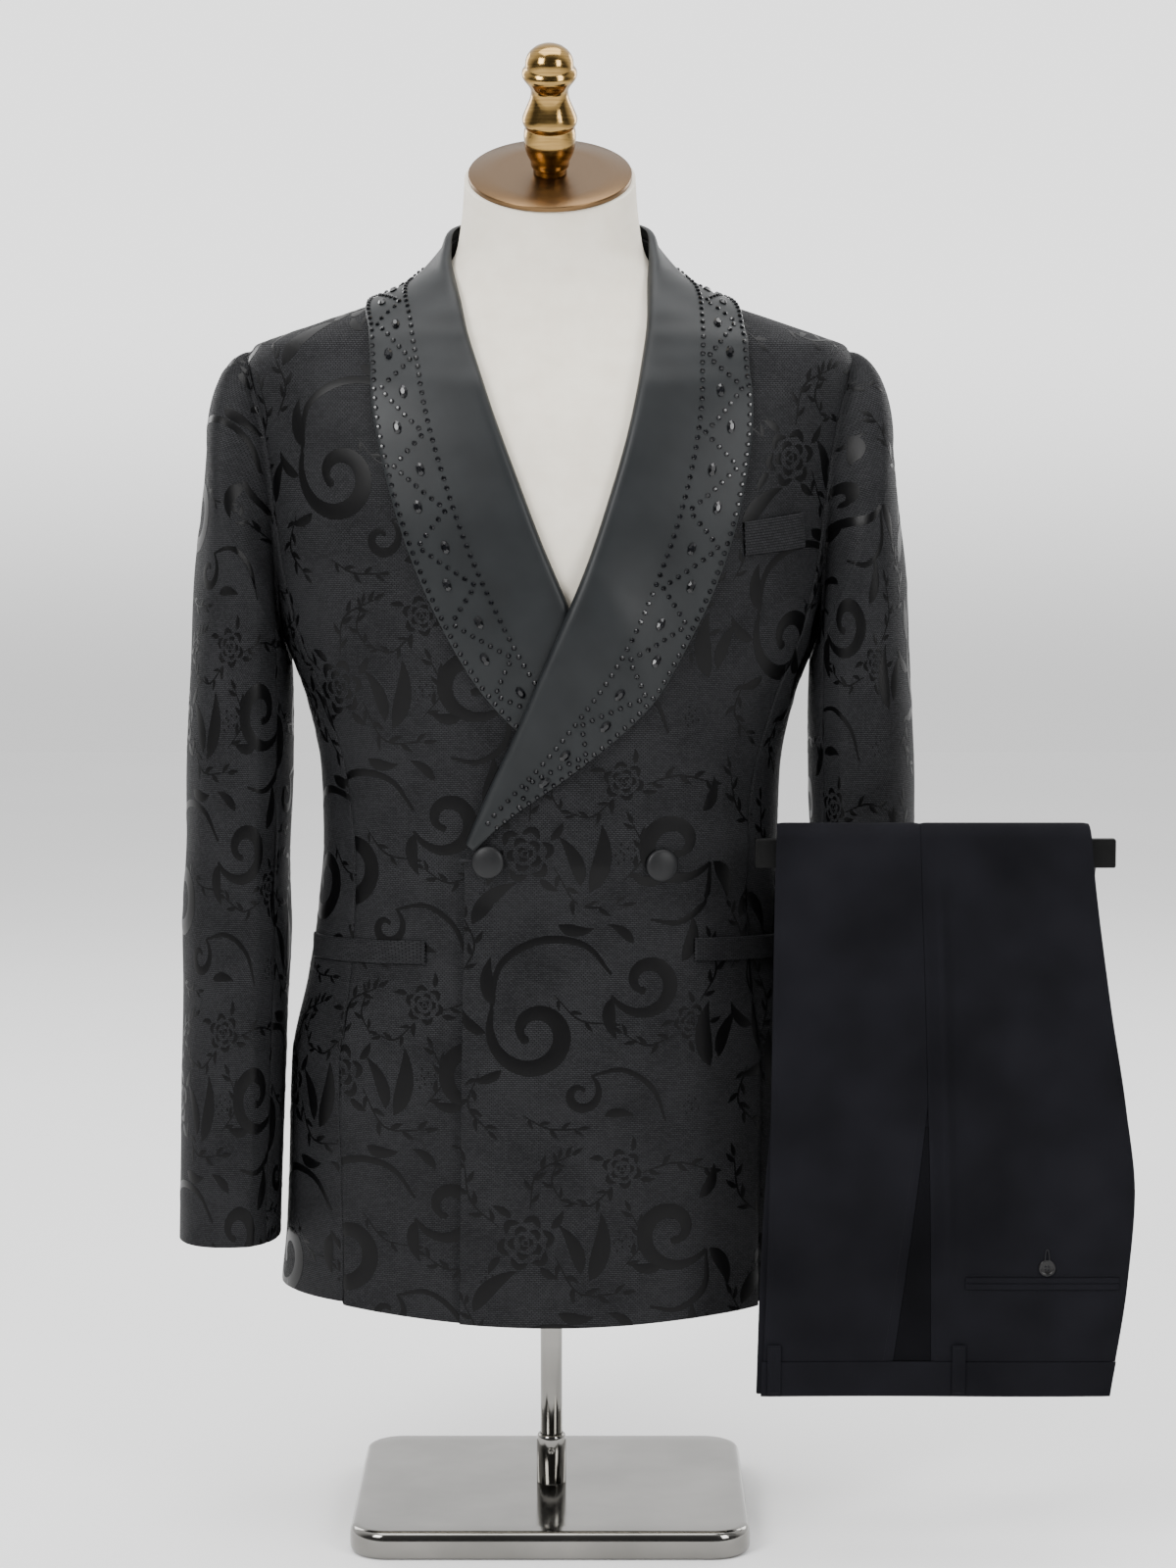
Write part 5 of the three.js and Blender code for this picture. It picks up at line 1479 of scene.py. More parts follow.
def inside(points, border):
    """Which points lie inside a closed border, by counting crossings."""
    x, y = points[:, 0], points[:, 1]
    hit = np.zeros(len(points), bool)
    for a, b in zip(border, np.roll(border, -1, axis=0)):
        if a[1] == b[1]:
            continue
        spans = (a[1] > y) != (b[1] > y)
        hit ^= spans & (x < (b[0] - a[0]) * (y - a[1]) / (b[1] - a[1]) + a[0])
    return hit


def nearest_on(points, border):
    """The nearest point of a closed border to each point, and which stretch it is on."""
    best = np.full(len(points), np.inf)
    spot = points.copy()
    where = np.zeros(len(points), int)
    for k, (a, b) in enumerate(zip(border, np.roll(border, -1, axis=0))):
        way = b - a
        size = max(float(way @ way), 1e-9)
        t = np.clip(((points - a) @ way) / size, 0, 1)
        q = a + t[:, None] * way
        d = np.sum((points - q) ** 2, -1)
        closer = d < best
        best[closer], spot[closer], where[closer] = d[closer], q[closer], k
    return spot, np.sqrt(best), where


# Where the repeat starts on each panel, across and up
CLOTH_START = {
    "cloth_front_left": (36, 40), "cloth_front_right": (-64, -120), "cloth_side_left": (120, 90),
    "cloth_side_right": (10, -60), "cloth_back_left": (-12, 60), "cloth_back_right": (92, -90),
    "cloth_sleeve_upper_left": (150, 10), "cloth_sleeve_upper_right": (40, -150),
    "cloth_sleeve_under_left": (70, 120), "cloth_sleeve_under_right": (-60, 30),
}


MOTIF_CLEAR = 0.14  # the motif's edge above the ground


def kept(faces, chosen, *tables):
    """The chosen faces, with the rows of each table that they use."""
    used, inverse = np.unique(faces[chosen], return_inverse=True)
    return inverse.reshape(-1, faces.shape[1]), *(table[used] for table in tables)


def lay_motif(name, woven, faces):
    spec = PANELS[name]
    side, border = spec["side"], spec["border"]
    low, high = border.min(0), border.max(0)
    flat = woven[:, :2] * np.array([side, 1]) + np.array(CLOTH_START[name]) + (low + high) / 2
    near = np.all((flat > low - 6) & (flat < high + 6), axis=1)
    faces, flat, crown = kept(faces, near[faces].all(axis=1), flat, woven[:, 2])
    within = inside(flat, border)
    faces, flat, crown, within = kept(faces, within[faces].any(axis=1), flat, crown, within)
    spot, distance, stretch = nearest_on(flat, border)
    flat = np.where(within[:, None], flat, spot)
    sink = np.where(spec["seam"][stretch], sunk(np.where(within, distance, 0)), 0)
    points = sided(spec["surface"](flat, MOTIF_CLEAR + crown - sink), side)
    faces = [list(dict.fromkeys(f)) for f in faces.tolist()]
    faces = [f for f in faces if len(f) > 2]
    settle(make_mesh(name.replace("cloth_", "motif_"), points, faces, "motif", flat), "jacquard")


woven_points, woven_faces = woven_cloth()
for name in CLOTH_START:
    lay_motif(name, woven_points, woven_faces)


# Stones on the lapels: two border rows, a zigzag between them and a pointed stone in each triangle

STONES = {"outer": 0.035, "inner": 0.455, "clear": 0.055, "period": 57.0, "apex": 0.34, "start": 20}
ROW_SPAN = (0.035, 0.985)
POINTED = [(0.46, 0.33), (0.9, 0.66)]  # in each period: how far along, and across from the outer row
ROUND_STONE = {"Spacing": 7.0 * MM, "Radius": 1.75 * MM, "Height": 1.5 * MM, "Stretch": 1.0}
POINTED_STONE = {"Radius": 2.8 * MM, "Height": 2.2 * MM, "Stretch": 1.7}
STITCH = {"Spacing": 0.004, "Length": 0.0022, "Thickness": 0.0004}
stone_row = set_along("stone_row", ROUND_STONE, stone_shape)
stone_spots = set_along("stone_spots", POINTED_STONE, stone_shape)
stitches = set_along("stitch_row", STITCH, stitch_shape)


def lapel_spots(hand, share, from_edge):
    """Points and normals on a lapel: share along it, and share of its width from the outer edge."""
    shawl = SHAWLS[hand]
    row = np.interp(share, shawl["t"], np.arange(len(shawl["t"])))
    want = 1 - from_edge
    col = np.empty(len(row))
    for k, r in enumerate(row):
        i = int(min(r, len(shawl["t"]) - 2))
        widths = blend(shawl["shares"][i], shawl["shares"][i + 1], r - i)
        col[k] = np.interp(want[k], widths, np.arange(len(widths)))
    points = looked_up(shawl["outer"], row, col)
    normals = unit(looked_up(shawl["normals"], row, col))
    return sided(points + normals * 0.2, shawl["side"]), sided(normals, shawl["side"])


def set_stones(hand):
    share = np.linspace(*ROW_SPAN, 320)
    outer, inner, start, apex = (STONES[key] for key in ("outer", "inner", "start", "apex"))
    middle = lapel_spots(hand, share, np.full(320, (outer + inner) / 2))[0]
    length = run_lengths(middle, 0)
    phase = (length - start) / STONES["period"]
    turn = phase % 1
    swing = np.where(turn < apex, turn / apex, (1 - turn) / (1 - apex))
    low, high = outer + STONES["clear"], inner - STONES["clear"]
    keep = length > start
    rows = [lapel_spots(hand, share, np.full(320, level)) for level in (outer, inner)]
    rows.append(lapel_spots(hand, share[keep], blend(low, high, swing[keep])))
    rows = guide_lines(*zip(*rows))
    settle(grow(f"stones_round_{hand}", rows, stone_row, ROUND_STONE, "stone"), "satin")
    spots = [(k + along, across) for k in range(int(phase[-1]) + 1) for along, across in POINTED]
    spots = np.array([spot for spot in spots if 0 < spot[0] < phase[-1] - 0.2])
    at, across = np.interp(spots[:, 0], phase, share), blend(low, high, spots[:, 1])
    points, facing = lapel_spots(hand, at, across)
    along = unit(lapel_spots(hand, at + 0.004, across)[0] - points)
    spots = guide(points, [], facing=facing, along=along)
    settle(grow(f"stones_pointed_{hand}", spots, stone_spots, POINTED_STONE, "stone"), "satin")


for hand in SIDES:
    set_stones(hand)


# Covered buttons, and the keyhole buttonhole by the one that fastens

BUTTONS = {"fastening": (-41, 495), "pair": (75, 492)}
BUTTON_PROFILE = [
    (0, 0), (7.5, 0), (9.6, 0.4), (10.8, 1.2), (11.4, 2.2), (11.5, 3.0), (11.2, 3.9), (10.4, 4.7), (8.8, 5.4),
    (6.4, 6.0), (3.5, 6.4), (0, 6.5),
]


def lathe_rings(profile, segments):
    """Rings of a turned shape about Z, from radius and height pairs."""
    turn = np.linspace(0, 2 * math.pi, segments, endpoint=False)
    radius, height = np.array([(max(r, 0.02), h) for r, h in profile], float).T[..., None]
    return np.stack([radius * np.cos(turn), radius * np.sin(turn), height + 0 * turn], -1)


def make_ring(name, profile, segments, material):
    """A turned ring, from a closed profile."""
    points = lathe_rings(profile, segments).reshape(-1, 3)
    j = np.arange(segments)
    last, after = (len(profile) - 1) * segments, (j + 1) % segments
    closing = np.stack([last + j, last + after, after, j], -1)
    faces = np.concatenate([grid_faces(len(profile), segments, closed=True), closing])
    return make_mesh(name, points, facing_out(points, faces), material)


def facing_frame(normal):
    """Axes whose third points along a normal."""
    z = unit(normal)
    x = unit(np.cross(np.array([0, 0, 1.0]), z))
    return np.stack([x, np.cross(z, x), z])


def make_buttons():
    for key, (x, z) in BUTTONS.items():
        x, z = np.array([float(x)]), np.array([float(z)])
        angle, out = angle_at(x, z), wrap_height(x, z) + CLOTH + 0.1
        seat = skin(angle, z, out)[0]
        rings = lathe_rings(BUTTON_PROFILE, 48) @ facing_frame(skin(angle, z, out + 1)[0] - seat) + seat
        flat = lathe_rings([(r, r) for r, _ in BUTTON_PROFILE], 48)[..., :2]
        settle(make_stack(f"covered_button_{key}", rings, "covered", flat), "satin", f"button_{key}")


make_buttons()


def on_front(side, points):
    """Points of a front from x and height, with their normals."""
    x, z = (np.asarray(points, float) * np.array([side, 1])).T
    base = on_figure(angle_at(x, z), z)
    wrap = wrap_height(x, z) if side > 0 else 0
    out = wrap + CLOTH + ripple("front", x, z) + 0.1
    return sided(raised(base, out), side), sided(outwards(base)[0], side)


# Darts, as fine sunk strips in the dark thread finish: painted shade along the dart seams
DARTS = {
    "right": (-1, [(-119, 616), (-110, 560), (-103, 512), (-104, 442)]),
    "left": (1, [(124, 600), (118, 555), (115, 517), (115, 442)]),
}


RIBBON_WALL = 0.25


def ribbon(name, line, normals, width, height, material, slot):
    """A slim flat strip along a line on a surface."""
    way = unit(np.gradient(line, axis=0))
    across = unit(np.cross(normals, way))
    shares = np.array([-1, -0.6, 0, 0.6, 1])
    crown = np.array([0, 0.7, 1, 0.7, 0]) * height
    normals = normals[:, None]
    grid = line[:, None] + across[:, None] * shares[:, None] * width / 2 + normals * crown[:, None]
    back = grid - normals * RIBBON_WALL
    cloth = np.stack([np.broadcast_to(shares * width, grid.shape[:2]), run_lengths(grid, 0)], -1)
    return settle(make_shell(name, grid, back, material, cloth), slot)


# Each dart strip is painted shade: a line darker than the cloth where the seam's groove falls into shade
for hand, (side, points) in DARTS.items():
    line, normals = on_front(side, rounded_line(points, 60))
    ribbon(f"dart_{hand}", line - normals * 0.16, normals, 0.75, 0.1, "thread", "jacquard")

hole_line, hole_normals = on_front(1, [(-60 + 0.4 * k, 495.4 + 0.005 * k) for k in range(22)])
ribbon("buttonhole", hole_line, hole_normals, 2.2, 0.5, "thread", "jacquard")


# Seam allowances inside the skirt: narrow strips behind the seams, clear of the cloth's waves
ALLOWANCE = {"width": 9.0, "below": 2.4, "thick": 0.1, "up": 0.3, "top": 300.0}


def make_allowances():
    share = np.linspace(0.003, ALLOWANCE["up"], 40)
    level = np.linspace(SIDE_HEM_Z + 1, ALLOWANCE["top"], 30)
    strips = [
        (f"allowance_{key}_{hand}", side, on_seam(face, share, 0))
        for hand, side in SIDES.items()
        for key, face in (("front", -1), ("back", 1))
    ]
    strips.append(("allowance_centre", 1, (np.full(30, math.pi / 2), level)))
    for name, side, (angle, z) in strips:
        base = on_figure(angle, z)
        line, facing = sided(raised(base, -ALLOWANCE["below"]), side), sided(outwards(base)[0], side)
        ribbon(name, line, facing, ALLOWANCE["width"], ALLOWANCE["thick"], "ground", "jacquard")


make_allowances()


def stitch_line(name, line, normals, spacing, length, thickness, slot="jacquard"):
    sizes = {"Spacing": spacing * MM, "Length": length * MM, "Thickness": thickness * MM}
    return settle(grow(name, guide_lines([line], [normals]), stitches, sizes, "thread"), slot)


# Stitches beside the left front's edge, and along both edges of each welt
EDGE_INSET = 5
edge_line = [(float(FRONT_EDGE(z) + CENTRE_LINE(z)) + EDGE_INSET, z) for z in np.linspace(172, 490, 90)]
stitch_line("pick_stitches_front", *on_front(1, edge_line), 5.5, 1.5, 0.35)
for name, spec in WELTS.items():
    share = np.linspace(0.02, 0.98, 30)
    for key, level in (("upper", 0.9), ("lower", 0.08)):
        line = welt_point(spec, share, np.full(30, level), WELT_HEIGHT + 0.02)
        facing = sided(outwards(line)[0], spec["side"])
        stitch_line(f"{name}_stitches_{key}", sided(line, spec["side"]), facing, 2.6, 1.7, 0.3)


# Dress form with its neck
FORM_INSET = 5.2
ARM_PLATE_X = 188.0
FORM_BOTTOM = 212.0
CAP = {"radius": 58.5, "y": 2.0, "z": 972.0, "tilt": math.radians(28), "thickness": 4.0}
NECK = columns(
    [
        (904, 80, 56, 60, 8, 2.1), (914, 68.5, 54, 57, 7, 2.05), (930, 65, 52, 54, 5, 2),
        (954, 62, 51, 52, 3, 2), (1010, 59.5, 53, 53, 2, 2),
    ],
    ["half", "front", "back", "side", "square"],
)


def on_form(angle, z):
    body = skin(angle, np.minimum(z, NECK_Z), -FORM_INSET)
    body[..., 0] = np.clip(body[..., 0], -ARM_PLATE_X, ARM_PLATE_X)
    return np.where((z > NECK_Z)[..., None], on_section(NECK, angle, np.maximum(z, NECK_Z)), body)


def make_form():
    angle = np.linspace(0, 2 * math.pi, 160, endpoint=False)
    heights = np.concatenate([np.linspace(FORM_BOTTOM, 840, 90), np.linspace(842.5, 912, 28)])
    rings = [on_form(angle, np.full(len(angle), z)) for z in heights]

    def neck_end(ring):
        return CAP["z"] + math.tan(CAP["tilt"]) * (ring[:, 1] - CAP["y"])

    rim_z = neck_end(on_form(angle, np.full(len(angle), CAP["z"])))
    for share in np.linspace(0, 1, 26)[1:]:
        ring = on_form(angle, blend(912, rim_z, share))
        if share == 1:
            ring[:, 2] = neck_end(ring)
        rings.append(ring)
    rings = np.array(rings)
    shoulders = 84
    rings[shoulders:] = eased(rings[shoulders:], 6)
    settle(make_stack("linen_form", rings, "linen"), "linen", "form_torso")


make_form()


# Cap and finial, square to the neck's slanted end
FINIAL_PROFILE = [
    (0, 0), (11.6, 0), (12, 0.4), (12, 3.6), (12.6, 4.2), (13.5, 5.4), (13.8, 6.8), (13.7, 8.2), (13.9, 9.2),
    (15.2, 12), (16.6, 15), (17.8, 19.5), (18.4, 24), (18.6, 28), (18.3, 31.6), (17.6, 34.6), (17.5, 35.4),
    (18.5, 36.6), (19.3, 38.4), (19.55, 40.4), (19.3, 42.4), (18.3, 45), (16.6, 49.2), (15, 53), (13.8, 56.6),
    (13.3, 59.6), (13.3, 62.2), (13.9, 64.6), (15.1, 66.6), (16.4, 68.6), (18.2, 71), (19.2, 73),
    (19.5, 74.8), (19.2, 76.6), (18, 78.4), (17.1, 79.4), (17, 80.4), (17.1, 82), (16.8, 84.6), (15.6, 87.8),
    (13.6, 90.6), (10.6, 93.2), (7, 94.9), (3.5, 95.8), (0, 96),
]
CAP_PROFILE = [
    (0, 0), (58, 0), (58.4, 0.15), (58.5, 0.6), (58.5, 3.2), (58.3, 3.7), (57.8, 4), (40, 4), (20, 4), (0, 4),
]


def on_cap(rings, height):
    """Rings placed on the neck's slanted end at a height above it."""
    c, s = math.cos(CAP["tilt"]), math.sin(CAP["tilt"])
    turn = np.array([[1, 0, 0], [0, c, -s], [0, s, c]])
    return (rings + np.array([0, 0, height])) @ turn.T + np.array([0, CAP["y"], CAP["z"]])


def make_crown():
    cap = on_cap(lathe_rings(CAP_PROFILE, 128), SEAM)
    finial = on_cap(lathe_rings(FINIAL_PROFILE, 96), 2 * SEAM + CAP["thickness"])
    settle(make_stack("brass_cap", cap, "cap"), "brass", "neck_cap")
    settle(make_stack("brass_finial", finial, "finial"), "brass", "neck_finial")


make_crown()


# Chromed stand
BASE = {"x": 285.0, "y": 250.0, "z": 20.0, "corner": 28.0}


def base_outline(inset, count=40):
    """A rounded rectangle drawn in by an inset, with a point for each turn."""
    radius = max(BASE["corner"] - inset, 4.0)
    x, y = BASE["x"] / 2 - inset - radius, BASE["y"] / 2 - inset - radius
    quarter = np.linspace(0, math.pi / 2, count)
    out = []
    for k, (cx, cy) in enumerate(((x, y), (-x, y), (-x, -y), (x, -y))):
        angle = quarter + k * math.pi / 2
        out.append(np.stack([cx + radius * np.cos(angle), cy + radius * np.sin(angle)], -1))
    return np.concatenate(out)


# Inset and height up the plate's edge: a full round below, a small step, then the flat top
BASE_PROFILE = [
    (9, 0), (3.5, 0), (2.0, 0.5), (0.9, 1.6), (0.2, 3.4), (0, 6), (0, 12), (0.3, 15), (1.1, 17.3), (2.5, 19),
    (4.5, 19.8), (7, 20), (20, 20), (60, 20), (100, 20),
]
POST_PROFILE = [(0, 20.3), (7.9, 20.3), (8, 20.5), (8, 211), (7.6, 211.7), (0, 211.7)]
SOCKET_PROFILE = [
    (8.3, 20.3), (10.6, 20.3), (10.8, 20.6), (10.8, 52), (10.5, 54.4), (10.1, 56.2), (9.3, 56.9),
    (8.3, 57), (8.3, 38),
]
SCREW_PROFILE = [(0, 0), (2.6, 0), (2.6, 1.4), (2.2, 1.8), (1.2, 1.8), (1.1, 1.0), (0, 1.0)]
SCREW_SEAT = (0, -10.7, 46)
FORWARDS = facing_frame(np.array([0, -1.0, 0]))


def make_base():
    flats = [(base_outline(inset), float(z)) for inset, z in BASE_PROFILE]
    rings = np.array([np.concatenate([flat, np.full((len(flat), 1), z)], 1) for flat, z in flats])
    settle(make_stack("chrome_base", rings, "chrome"), "chrome", "base_plate")
    settle(make_stack("chrome_post", lathe_rings(POST_PROFILE, 64), "chrome"), "chrome", "post")
    settle(make_ring("chrome_socket", SOCKET_PROFILE, 64, "chrome"), "chrome", "base_socket")
    screw = lathe_rings(SCREW_PROFILE, 24) @ FORWARDS + np.array(SCREW_SEAT)
    settle(make_stack("socket_screw", screw, "chrome"), "chrome")


make_base()


# Rail for the trousers and the arm that carries it
RAIL = {"left": 142.0, "right": 390.0, "front": -138.0, "back": -130.0, "bottom": 494.0, "top": 514.0}
ARM_ROUTE = [
    (13.7, 10.6, 165), (60, 46, 165), (130, 62, 165), (210, 62, 165), (300, 40, 165), (362, 0, 165),
    (379, -30, 173), (381, -52, 205), (381, -58, 255), (381, -60, 440), (381, -64, 476), (381, -80, 497),
    (381, -100, 503), (381, -115, 504), (381, -129.7, 504),
]


def centripetal(points, count):
    """The same smooth line through points as the solid's, with extra steps."""
    p = np.array(points, float)
    p = np.concatenate([[2 * p[0] - p[1]], p, [2 * p[-1] - p[-2]]])
    knots = np.concatenate([[0], np.cumsum(np.sqrt(np.linalg.norm(np.diff(p, axis=0), axis=1)))])

    def between(a, b, first, last, t):
        return blend(a, b, (t - knots[first]) / (knots[last] - knots[first]))

    line = []
    for i in range(1, len(p) - 2):
        for t in np.linspace(knots[i], knots[i + 1], count, endpoint=i == len(p) - 3):
            a = [between(p[k], p[k + 1], k, k + 1, t) for k in (i - 1, i, i + 1)]
            b = [between(a[k], a[k + 1], i - 1 + k, i + 1 + k, t) for k in (0, 1)]
            line.append(between(b[0], b[1], i, i + 1, t))
    return np.array(line)


def make_tube(name, line, radius, material, sides=20):
    way = unit(np.gradient(line, axis=0))
    rings, across = [], np.array([0, 0, 1.0])
    for p, w in zip(line, way):
        across = unit(across - w * (across @ w))
        other = np.cross(w, across)
        turn = np.linspace(0, 2 * math.pi, sides, endpoint=False)[:, None]
        rings.append(p + radius * (np.cos(turn) * across + np.sin(turn) * other))
    return make_stack(name, np.array(rings), material)


CLAMP_PROFILE = [(8.3, 153), (16.4, 153), (17, 153.6), (17, 176), (16.4, 177), (8.3, 177), (8.3, 165)]
BAR = {"half_y": 4.0, "half_z": 10.0, "corner": 0.9}
BAR_ENDS = [(0, 0.9), (0.5, 0.985), (1.2, 1)]  # how far in from an end, and the section's scale there


def make_rail():
    settle(make_tube("black_arm", centripetal(ARM_ROUTE, 10), 5.0, "black"), "black_steel", "rail_arm")
    settle(make_ring("black_clamp", CLAMP_PROFILE, 48, "black"), "black_steel", "arm_clamp")
    middle = np.array([RAIL["front"] + RAIL["back"], RAIL["bottom"] + RAIL["top"]]) / 2
    flat = np.array([BAR["half_y"], BAR["half_z"]]) - BAR["corner"]
    section = []
    for k, corner in enumerate(((1, 1), (-1, 1), (-1, -1), (1, -1))):
        a = np.linspace(0, math.pi / 2, 5) + k * math.pi / 2
        section.append(np.array(corner) * flat + BAR["corner"] * np.stack([np.cos(a), np.sin(a)], -1))
    section = np.concatenate(section)
    ends = [(RAIL["left"] + d, scale) for d, scale in BAR_ENDS]
    ends += [(RAIL["right"] - d, scale) for d, scale in BAR_ENDS[::-1]]
    rings = [np.concatenate([np.full((len(section), 1), x), section * k + middle], 1) for x, k in ends]
    settle(make_stack("black_rail", np.array(rings), "black"), "black_steel", "trouser_rail")


make_rail()


# Trousers, folded leg on leg over the rail. Heights are above the rail's faces.
FOLD = {"inner": 0.6, "under": 5.2, "cloth": 5.7, "face": 7.1}
WAIST_SEAM_Z, WAIST_Z, LEG_HEM_Z = 151.0, 126.0, 132.0
RAIL_MIDDLE, RAIL_HALF = (RAIL["front"] + RAIL["back"]) / 2, (RAIL["back"] - RAIL["front"]) / 2
FOLD_RADIUS = RAIL_HALF + FOLD["face"]
TURN_LENGTH = math.pi / 2 * FOLD_RADIUS


def along_at(z):
    return TURN_LENGTH + RAIL["top"] - z


OUTLINE = columns(
    [
        (-along_at(LEG_HEM_Z), 178, 256, 336, 180),
        (-along_at(330), 166, 257, 355, 168), (0, 157, 255, 371, 159),
        (along_at(486), 155.5, 256, 375, 157.5),
        (along_at(400), 154, 259, 386, 155),
        (along_at(330), 153, 261, 397, 153.5),
        (along_at(268), 152, 263, 404, 149),
        (along_at(207), 150.5, 264, 400, 146),
        (along_at(WAIST_Z), 148, 265, 389, 144),
    ],
    ["left", "seam", "right", "under"],
)
FALL = monotone([WAIST_Z, 200, 300, 420, 505], [5, 9, 10, 5, 0])
LAST_MARK = along_at(WAIST_SEAM_Z)


def on_trousers(x, along, height):
    """A point of the folded cloth: across, along from the top of the fold, and above the rail."""
    x, along, height = np.broadcast_arrays(x, along, height)
    radius = RAIL_HALF + height
    turn = np.clip(along / FOLD_RADIUS, -math.pi / 2, math.pi / 2)
    past = np.maximum(np.abs(along) - TURN_LENGTH, 0)
    z = RAIL["top"] + np.where(past > 0, -past, radius * np.cos(turn))
    y = RAIL_MIDDLE - radius * np.sin(turn) - np.where(along > 0, FALL(z), 0)
    return np.stack([x, y, z], -1)


def mouth_gap(along):
    start = along_at(331)
    return np.clip((along - start) / (LAST_MARK - start), 0, None) * 26


def trouser_waves(x, along):
    """The soft fold beside the seam and the hang of the cloth."""
    beside = (x - OUTLINE["seam"](along) - 11) / 6
    share = smooth(along, 10, 90) * (1 - smooth(along, along_at(260), along_at(170)))
    fold = 6.2 * np.exp(-beside * beside) * share
    drag = 0.8 * (1 + np.sin((x - 150) / 34 + along / 160)) * smooth(along, 30, 120)
    hollow = -0.8 * np.exp(-(((x - OUTLINE["seam"](along) + 5) / 6) ** 2)) * share
    return fold + drag + hollow


def crown_at_edges(shares, width, depth=0.9, reach=2.2):
    """How far a cloth edge rolls down towards its cut or fold."""
    near = np.minimum(shares, 1 - shares) * width
    return depth * np.exp(-((near / reach) ** 2))


def trouser_piece(name, node, marks, left, right, heights, finish="wool", cols=40, dip=0.6, groove=0.0):
    """A layer between two edges, which are curves along the cloth or plain numbers."""
    shares = edge_shares(cols, 120, (0.4, 1.0, 1.9, 3.2))
    marks = np.asarray(marks, float)[:, None]
    left, right = (edge(marks) if callable(edge) else edge + 0 * marks for edge in (left, right))
    x = blend(left, right, shares[None])
    low, high = heights
    wave = trouser_waves(x, marks)
    middle = (marks - marks.mean()) / 0.5
    roll = crown_at_edges(shares, np.mean(right - left), dip) + groove * np.exp(-middle * middle)
    outer = on_trousers(x, marks, high + wave - roll)
    inner = on_trousers(x, marks, low + np.maximum(wave, 0) * 0.9 + np.minimum(wave, 0))
    cloth = np.stack([x, np.broadcast_to(-marks, x.shape)], -1)
    settle(make_shell(name, outer, inner, finish, cloth), "wool", node)


def steps(first, last, count):
    """Distances along the cloth from one end to the other, closer together over the rail."""
    turn = np.linspace(-TURN_LENGTH, TURN_LENGTH, 25)
    line = np.linspace(first, last, count)
    line = line[(line < -TURN_LENGTH - 2) | (line > TURN_LENGTH + 2)]
    turn = turn[(turn >= first) & (turn <= last)]
    both = np.sort(np.concatenate([line, turn, [first, last, last - 0.6, last - 1.6, first + 0.6]]))
    return both[np.concatenate([[True], np.diff(both) > 0.2])]


LONG = steps(-along_at(LEG_HEM_Z), LAST_MARK, 150)
HALF_SEAM = SEAM / 2
LAYER = (FOLD["cloth"], FOLD["face"])
trouser_piece(
    "wool_front", "trouser_front", LONG, OUTLINE["left"],
    lambda a: OUTLINE["seam"](a) - HALF_SEAM - mouth_gap(a), LAYER,
)
trouser_piece(
    "wool_back", "trouser_back", LONG,
    lambda a: OUTLINE["seam"](a) + HALF_SEAM, OUTLINE["right"], LAYER, cols=56,
)
# The pocket facing, in wool painted darker as the shade inside the pocket mouth
trouser_piece(
    "wool_pocket_facing", "side_pocket_facing", steps(along_at(316), LAST_MARK, 60),
    lambda a: OUTLINE["seam"](a) + HALF_SEAM - mouth_gap(a), lambda a: OUTLINE["seam"](a) - HALF_SEAM,
    (FOLD["cloth"], FOLD["face"] - 0.7), cols=12, finish="pocket_wool", dip=0.2,
)
trouser_piece(
    "wool_waistband", "waistband", steps(LAST_MARK + SEAM, along_at(WAIST_Z), 14),
    lambda a: OUTLINE["left"](a) - 1, lambda a: OUTLINE["right"](a) + 0.5,
    (FOLD["cloth"], FOLD["face"] + 0.5), cols=60, dip=0.5,
)
LOOP = {"half": 4.5, "top": 163.0, "bottom": 127.0, "low": FOLD["face"] + 0.8, "high": FOLD["face"] + 2.0}
LOOPS = {"front": 156.0, "side": 284.0}
for key, x in LOOPS.items():
    trouser_piece(
        f"wool_loop_{key}", f"belt_loop_{key}", steps(along_at(LOOP["top"]), along_at(LOOP["bottom"]), 16),
        x - LOOP["half"], x + LOOP["half"], (LOOP["low"], LOOP["high"]), cols=10, dip=0.35,
    )
POCKET = {"left": 288.0, "right": 394.0, "z": 207.0}
JET_STEPS = (4, 3.7, 3.2, 2.4, 1.4, 0.7, 0.25, 0, -0.25, -0.7, -1.4, -2.4, -3.2, -3.7, -4)
trouser_piece(
    "wool_pocket_jets", "back_pocket_jets", [along_at(POCKET["z"] + d) for d in JET_STEPS], POCKET["left"],
    POCKET["right"], (FOLD["face"] + 0.3, FOLD["face"] + 1.3), cols=30, dip=0.3, groove=0.9,
)


# The layers inside the fold, rounded at the edges, with a groove between the legs
GROOVE = {"depth": 2.2, "at": 1.9}


def make_inner_layers():
    low, high = FOLD["inner"], FOLD["under"]
    middle = high - GROOVE["at"]
    profile = np.array([
        (1.2, low), (0.45, low + 0.2), (0.1, low + 0.6), (0, low + 1.1),
        (0.1, middle - 1.0), (0.6, middle - 0.55), (GROOVE["depth"], middle), (0.6, middle + 0.5),
        (0.1, middle + 0.9), (0.2, high - 0.35), (0.8, high),
    ])
    inset, height = profile.T
    span = np.linspace(0, 1, 14)[1:-1]
    flat = np.ones(len(span))
    height = np.concatenate([height, flat * high, height[::-1], flat * low])
    rings, maps = [], []
    for a in steps(-along_at(LEG_HEM_Z), along_at(WAIST_Z + 1), 120):
        left, right = float(OUTLINE["under"](a)), float(OUTLINE["right"](a)) - 1.5
        across = blend(left, right, span)
        x = np.concatenate([left + inset, across, right - inset[::-1], blend(right, left, span)])
        along = np.full(len(x), a)
        rings.append(on_trousers(x, along, height))
        maps.append(np.stack([x + height, -along], -1))
    piece = make_stack("wool_inner_layers", np.array(rings), "wool", np.array(maps))
    settle(piece, "wool", "trouser_inner_layers")


make_inner_layers()


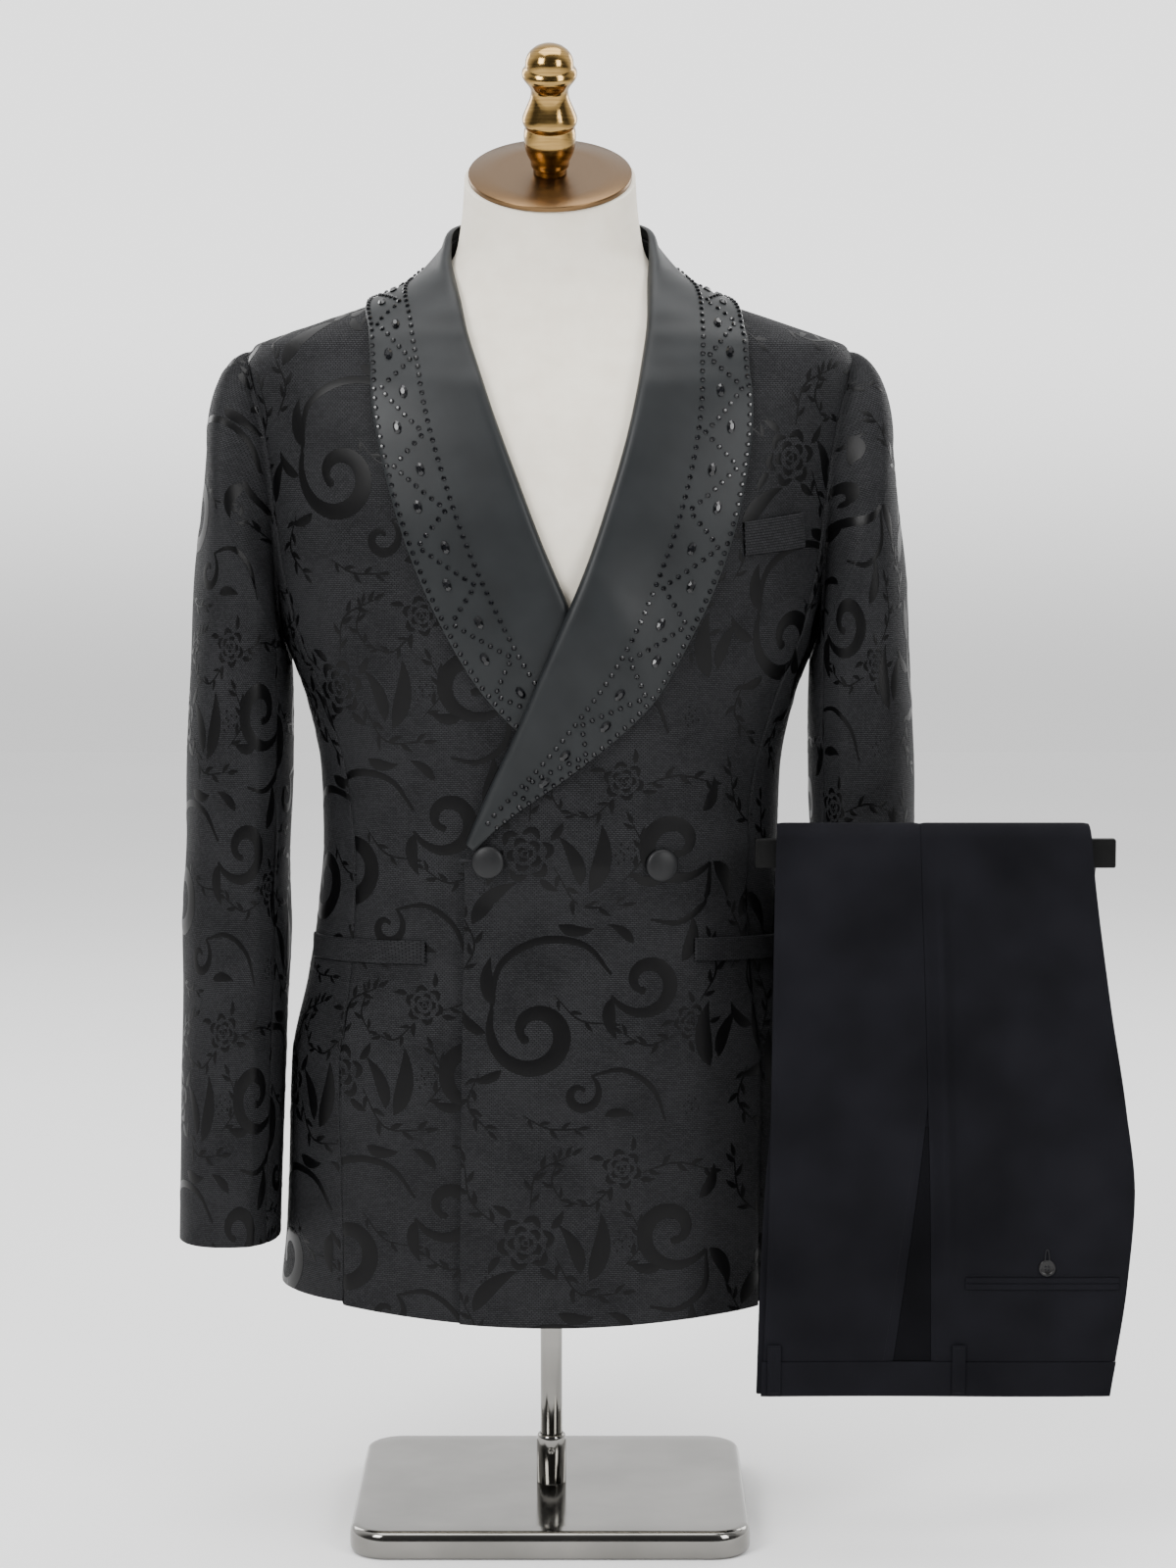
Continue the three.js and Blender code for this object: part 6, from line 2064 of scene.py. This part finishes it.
def on_face(points, out=0.0):
    """Points on the folded trousers' front from x and height, with their normals."""
    points = np.asarray(points, float)
    a = along_at(points[:, 1])
    height = FOLD["face"] + trouser_waves(points[:, 0], a) + out
    line = on_trousers(points[:, 0], a, height)
    return line, np.tile(np.array([0.0, -1, 0]), (len(line), 1))


EYE_PROFILE = [(0, 0), (0.75, 0), (0.75, 0.12), (0, 0.12)]
HORN_PROFILE = [
    (0, 0), (5.2, 0), (5.6, 0.3), (5.8, 0.9), (5.8, 2.0), (5.6, 2.45), (5.1, 2.6), (4.5, 2.5),
    (4.1, 2.1), (3.8, 1.9), (0, 1.9),
]


def make_pocket_button():
    seat = on_trousers(344.0, along_at(218), FOLD["face"] + 0.3)
    piece = make_stack("horn_button", lathe_rings(HORN_PROFILE, 48) @ FORWARDS + seat, "horn")
    settle(piece, "horn", "back_pocket_button")
    for k in range(4):
        angle = math.pi / 4 + k * math.pi / 2
        place = np.array([1.5 * math.cos(angle), 1.5 * math.sin(angle), 1.85])
        eye = (lathe_rings(EYE_PROFILE, 12) + place) @ FORWARDS + seat
        settle(make_stack(f"button_eye_{k + 1}", eye, "thread"), "horn")
    t = math.pi * np.linspace(0, 1, 30)
    loop = np.stack([344 + 1.5 * np.cos(t), 222.5 + 8.5 * np.sin(t)], -1)
    settle(make_tube("button_loop", on_face(loop, 0.35)[0], 0.55, "thread", 8), "wool")


make_pocket_button()

# The trouser dart: a strip in the dark thread finish, painted shade along the dart seam
dart_line, dart_normals = on_face(rounded_line([(343, 202), (342.6, 178), (342.5, 153)], 30), -0.1)
ribbon("trouser_dart_painted_shade", dart_line, dart_normals, 0.6, 0.1, "thread", "wool")
SEWN = {
    "slit_stitches_upper": [(289, 212.4), (393, 212.4)],
    "slit_stitches_lower": [(289, 201.6), (393, 201.6)],
    "pocket_mouth_stitches": [(255.5, 325), (232, 153)],
}
for key, points in SEWN.items():
    line, normals = on_face(rounded_line(points, 80), 0.05)
    stitch_line(key, line, normals, 2.6, 1.6, 0.3, "wool")
for key, x in LOOPS.items():
    for part, z in (("upper", 161.0), ("lower", 129.0)):
        line, normals = on_face([(x - 3.6 + 0.8 * k, z) for k in range(10)], LOOP["high"] - FOLD["face"])
        stitch_line(f"loop_{key}_bar_{part}", line, normals, 1.0, 0.9, 0.45, "wool")


# Floor
FLOOR = [(-6, -6, 0), (6, -6, 0), (6, 6, 0), (-6, 6, 0)]


def make_floor():
    mesh = bpy.data.meshes.new("floor")
    mesh.from_pydata(FLOOR, [], [(0, 1, 2, 3)])
    mesh.materials.append(FINISH["floor"])
    in_scene("floor", mesh)


make_floor()
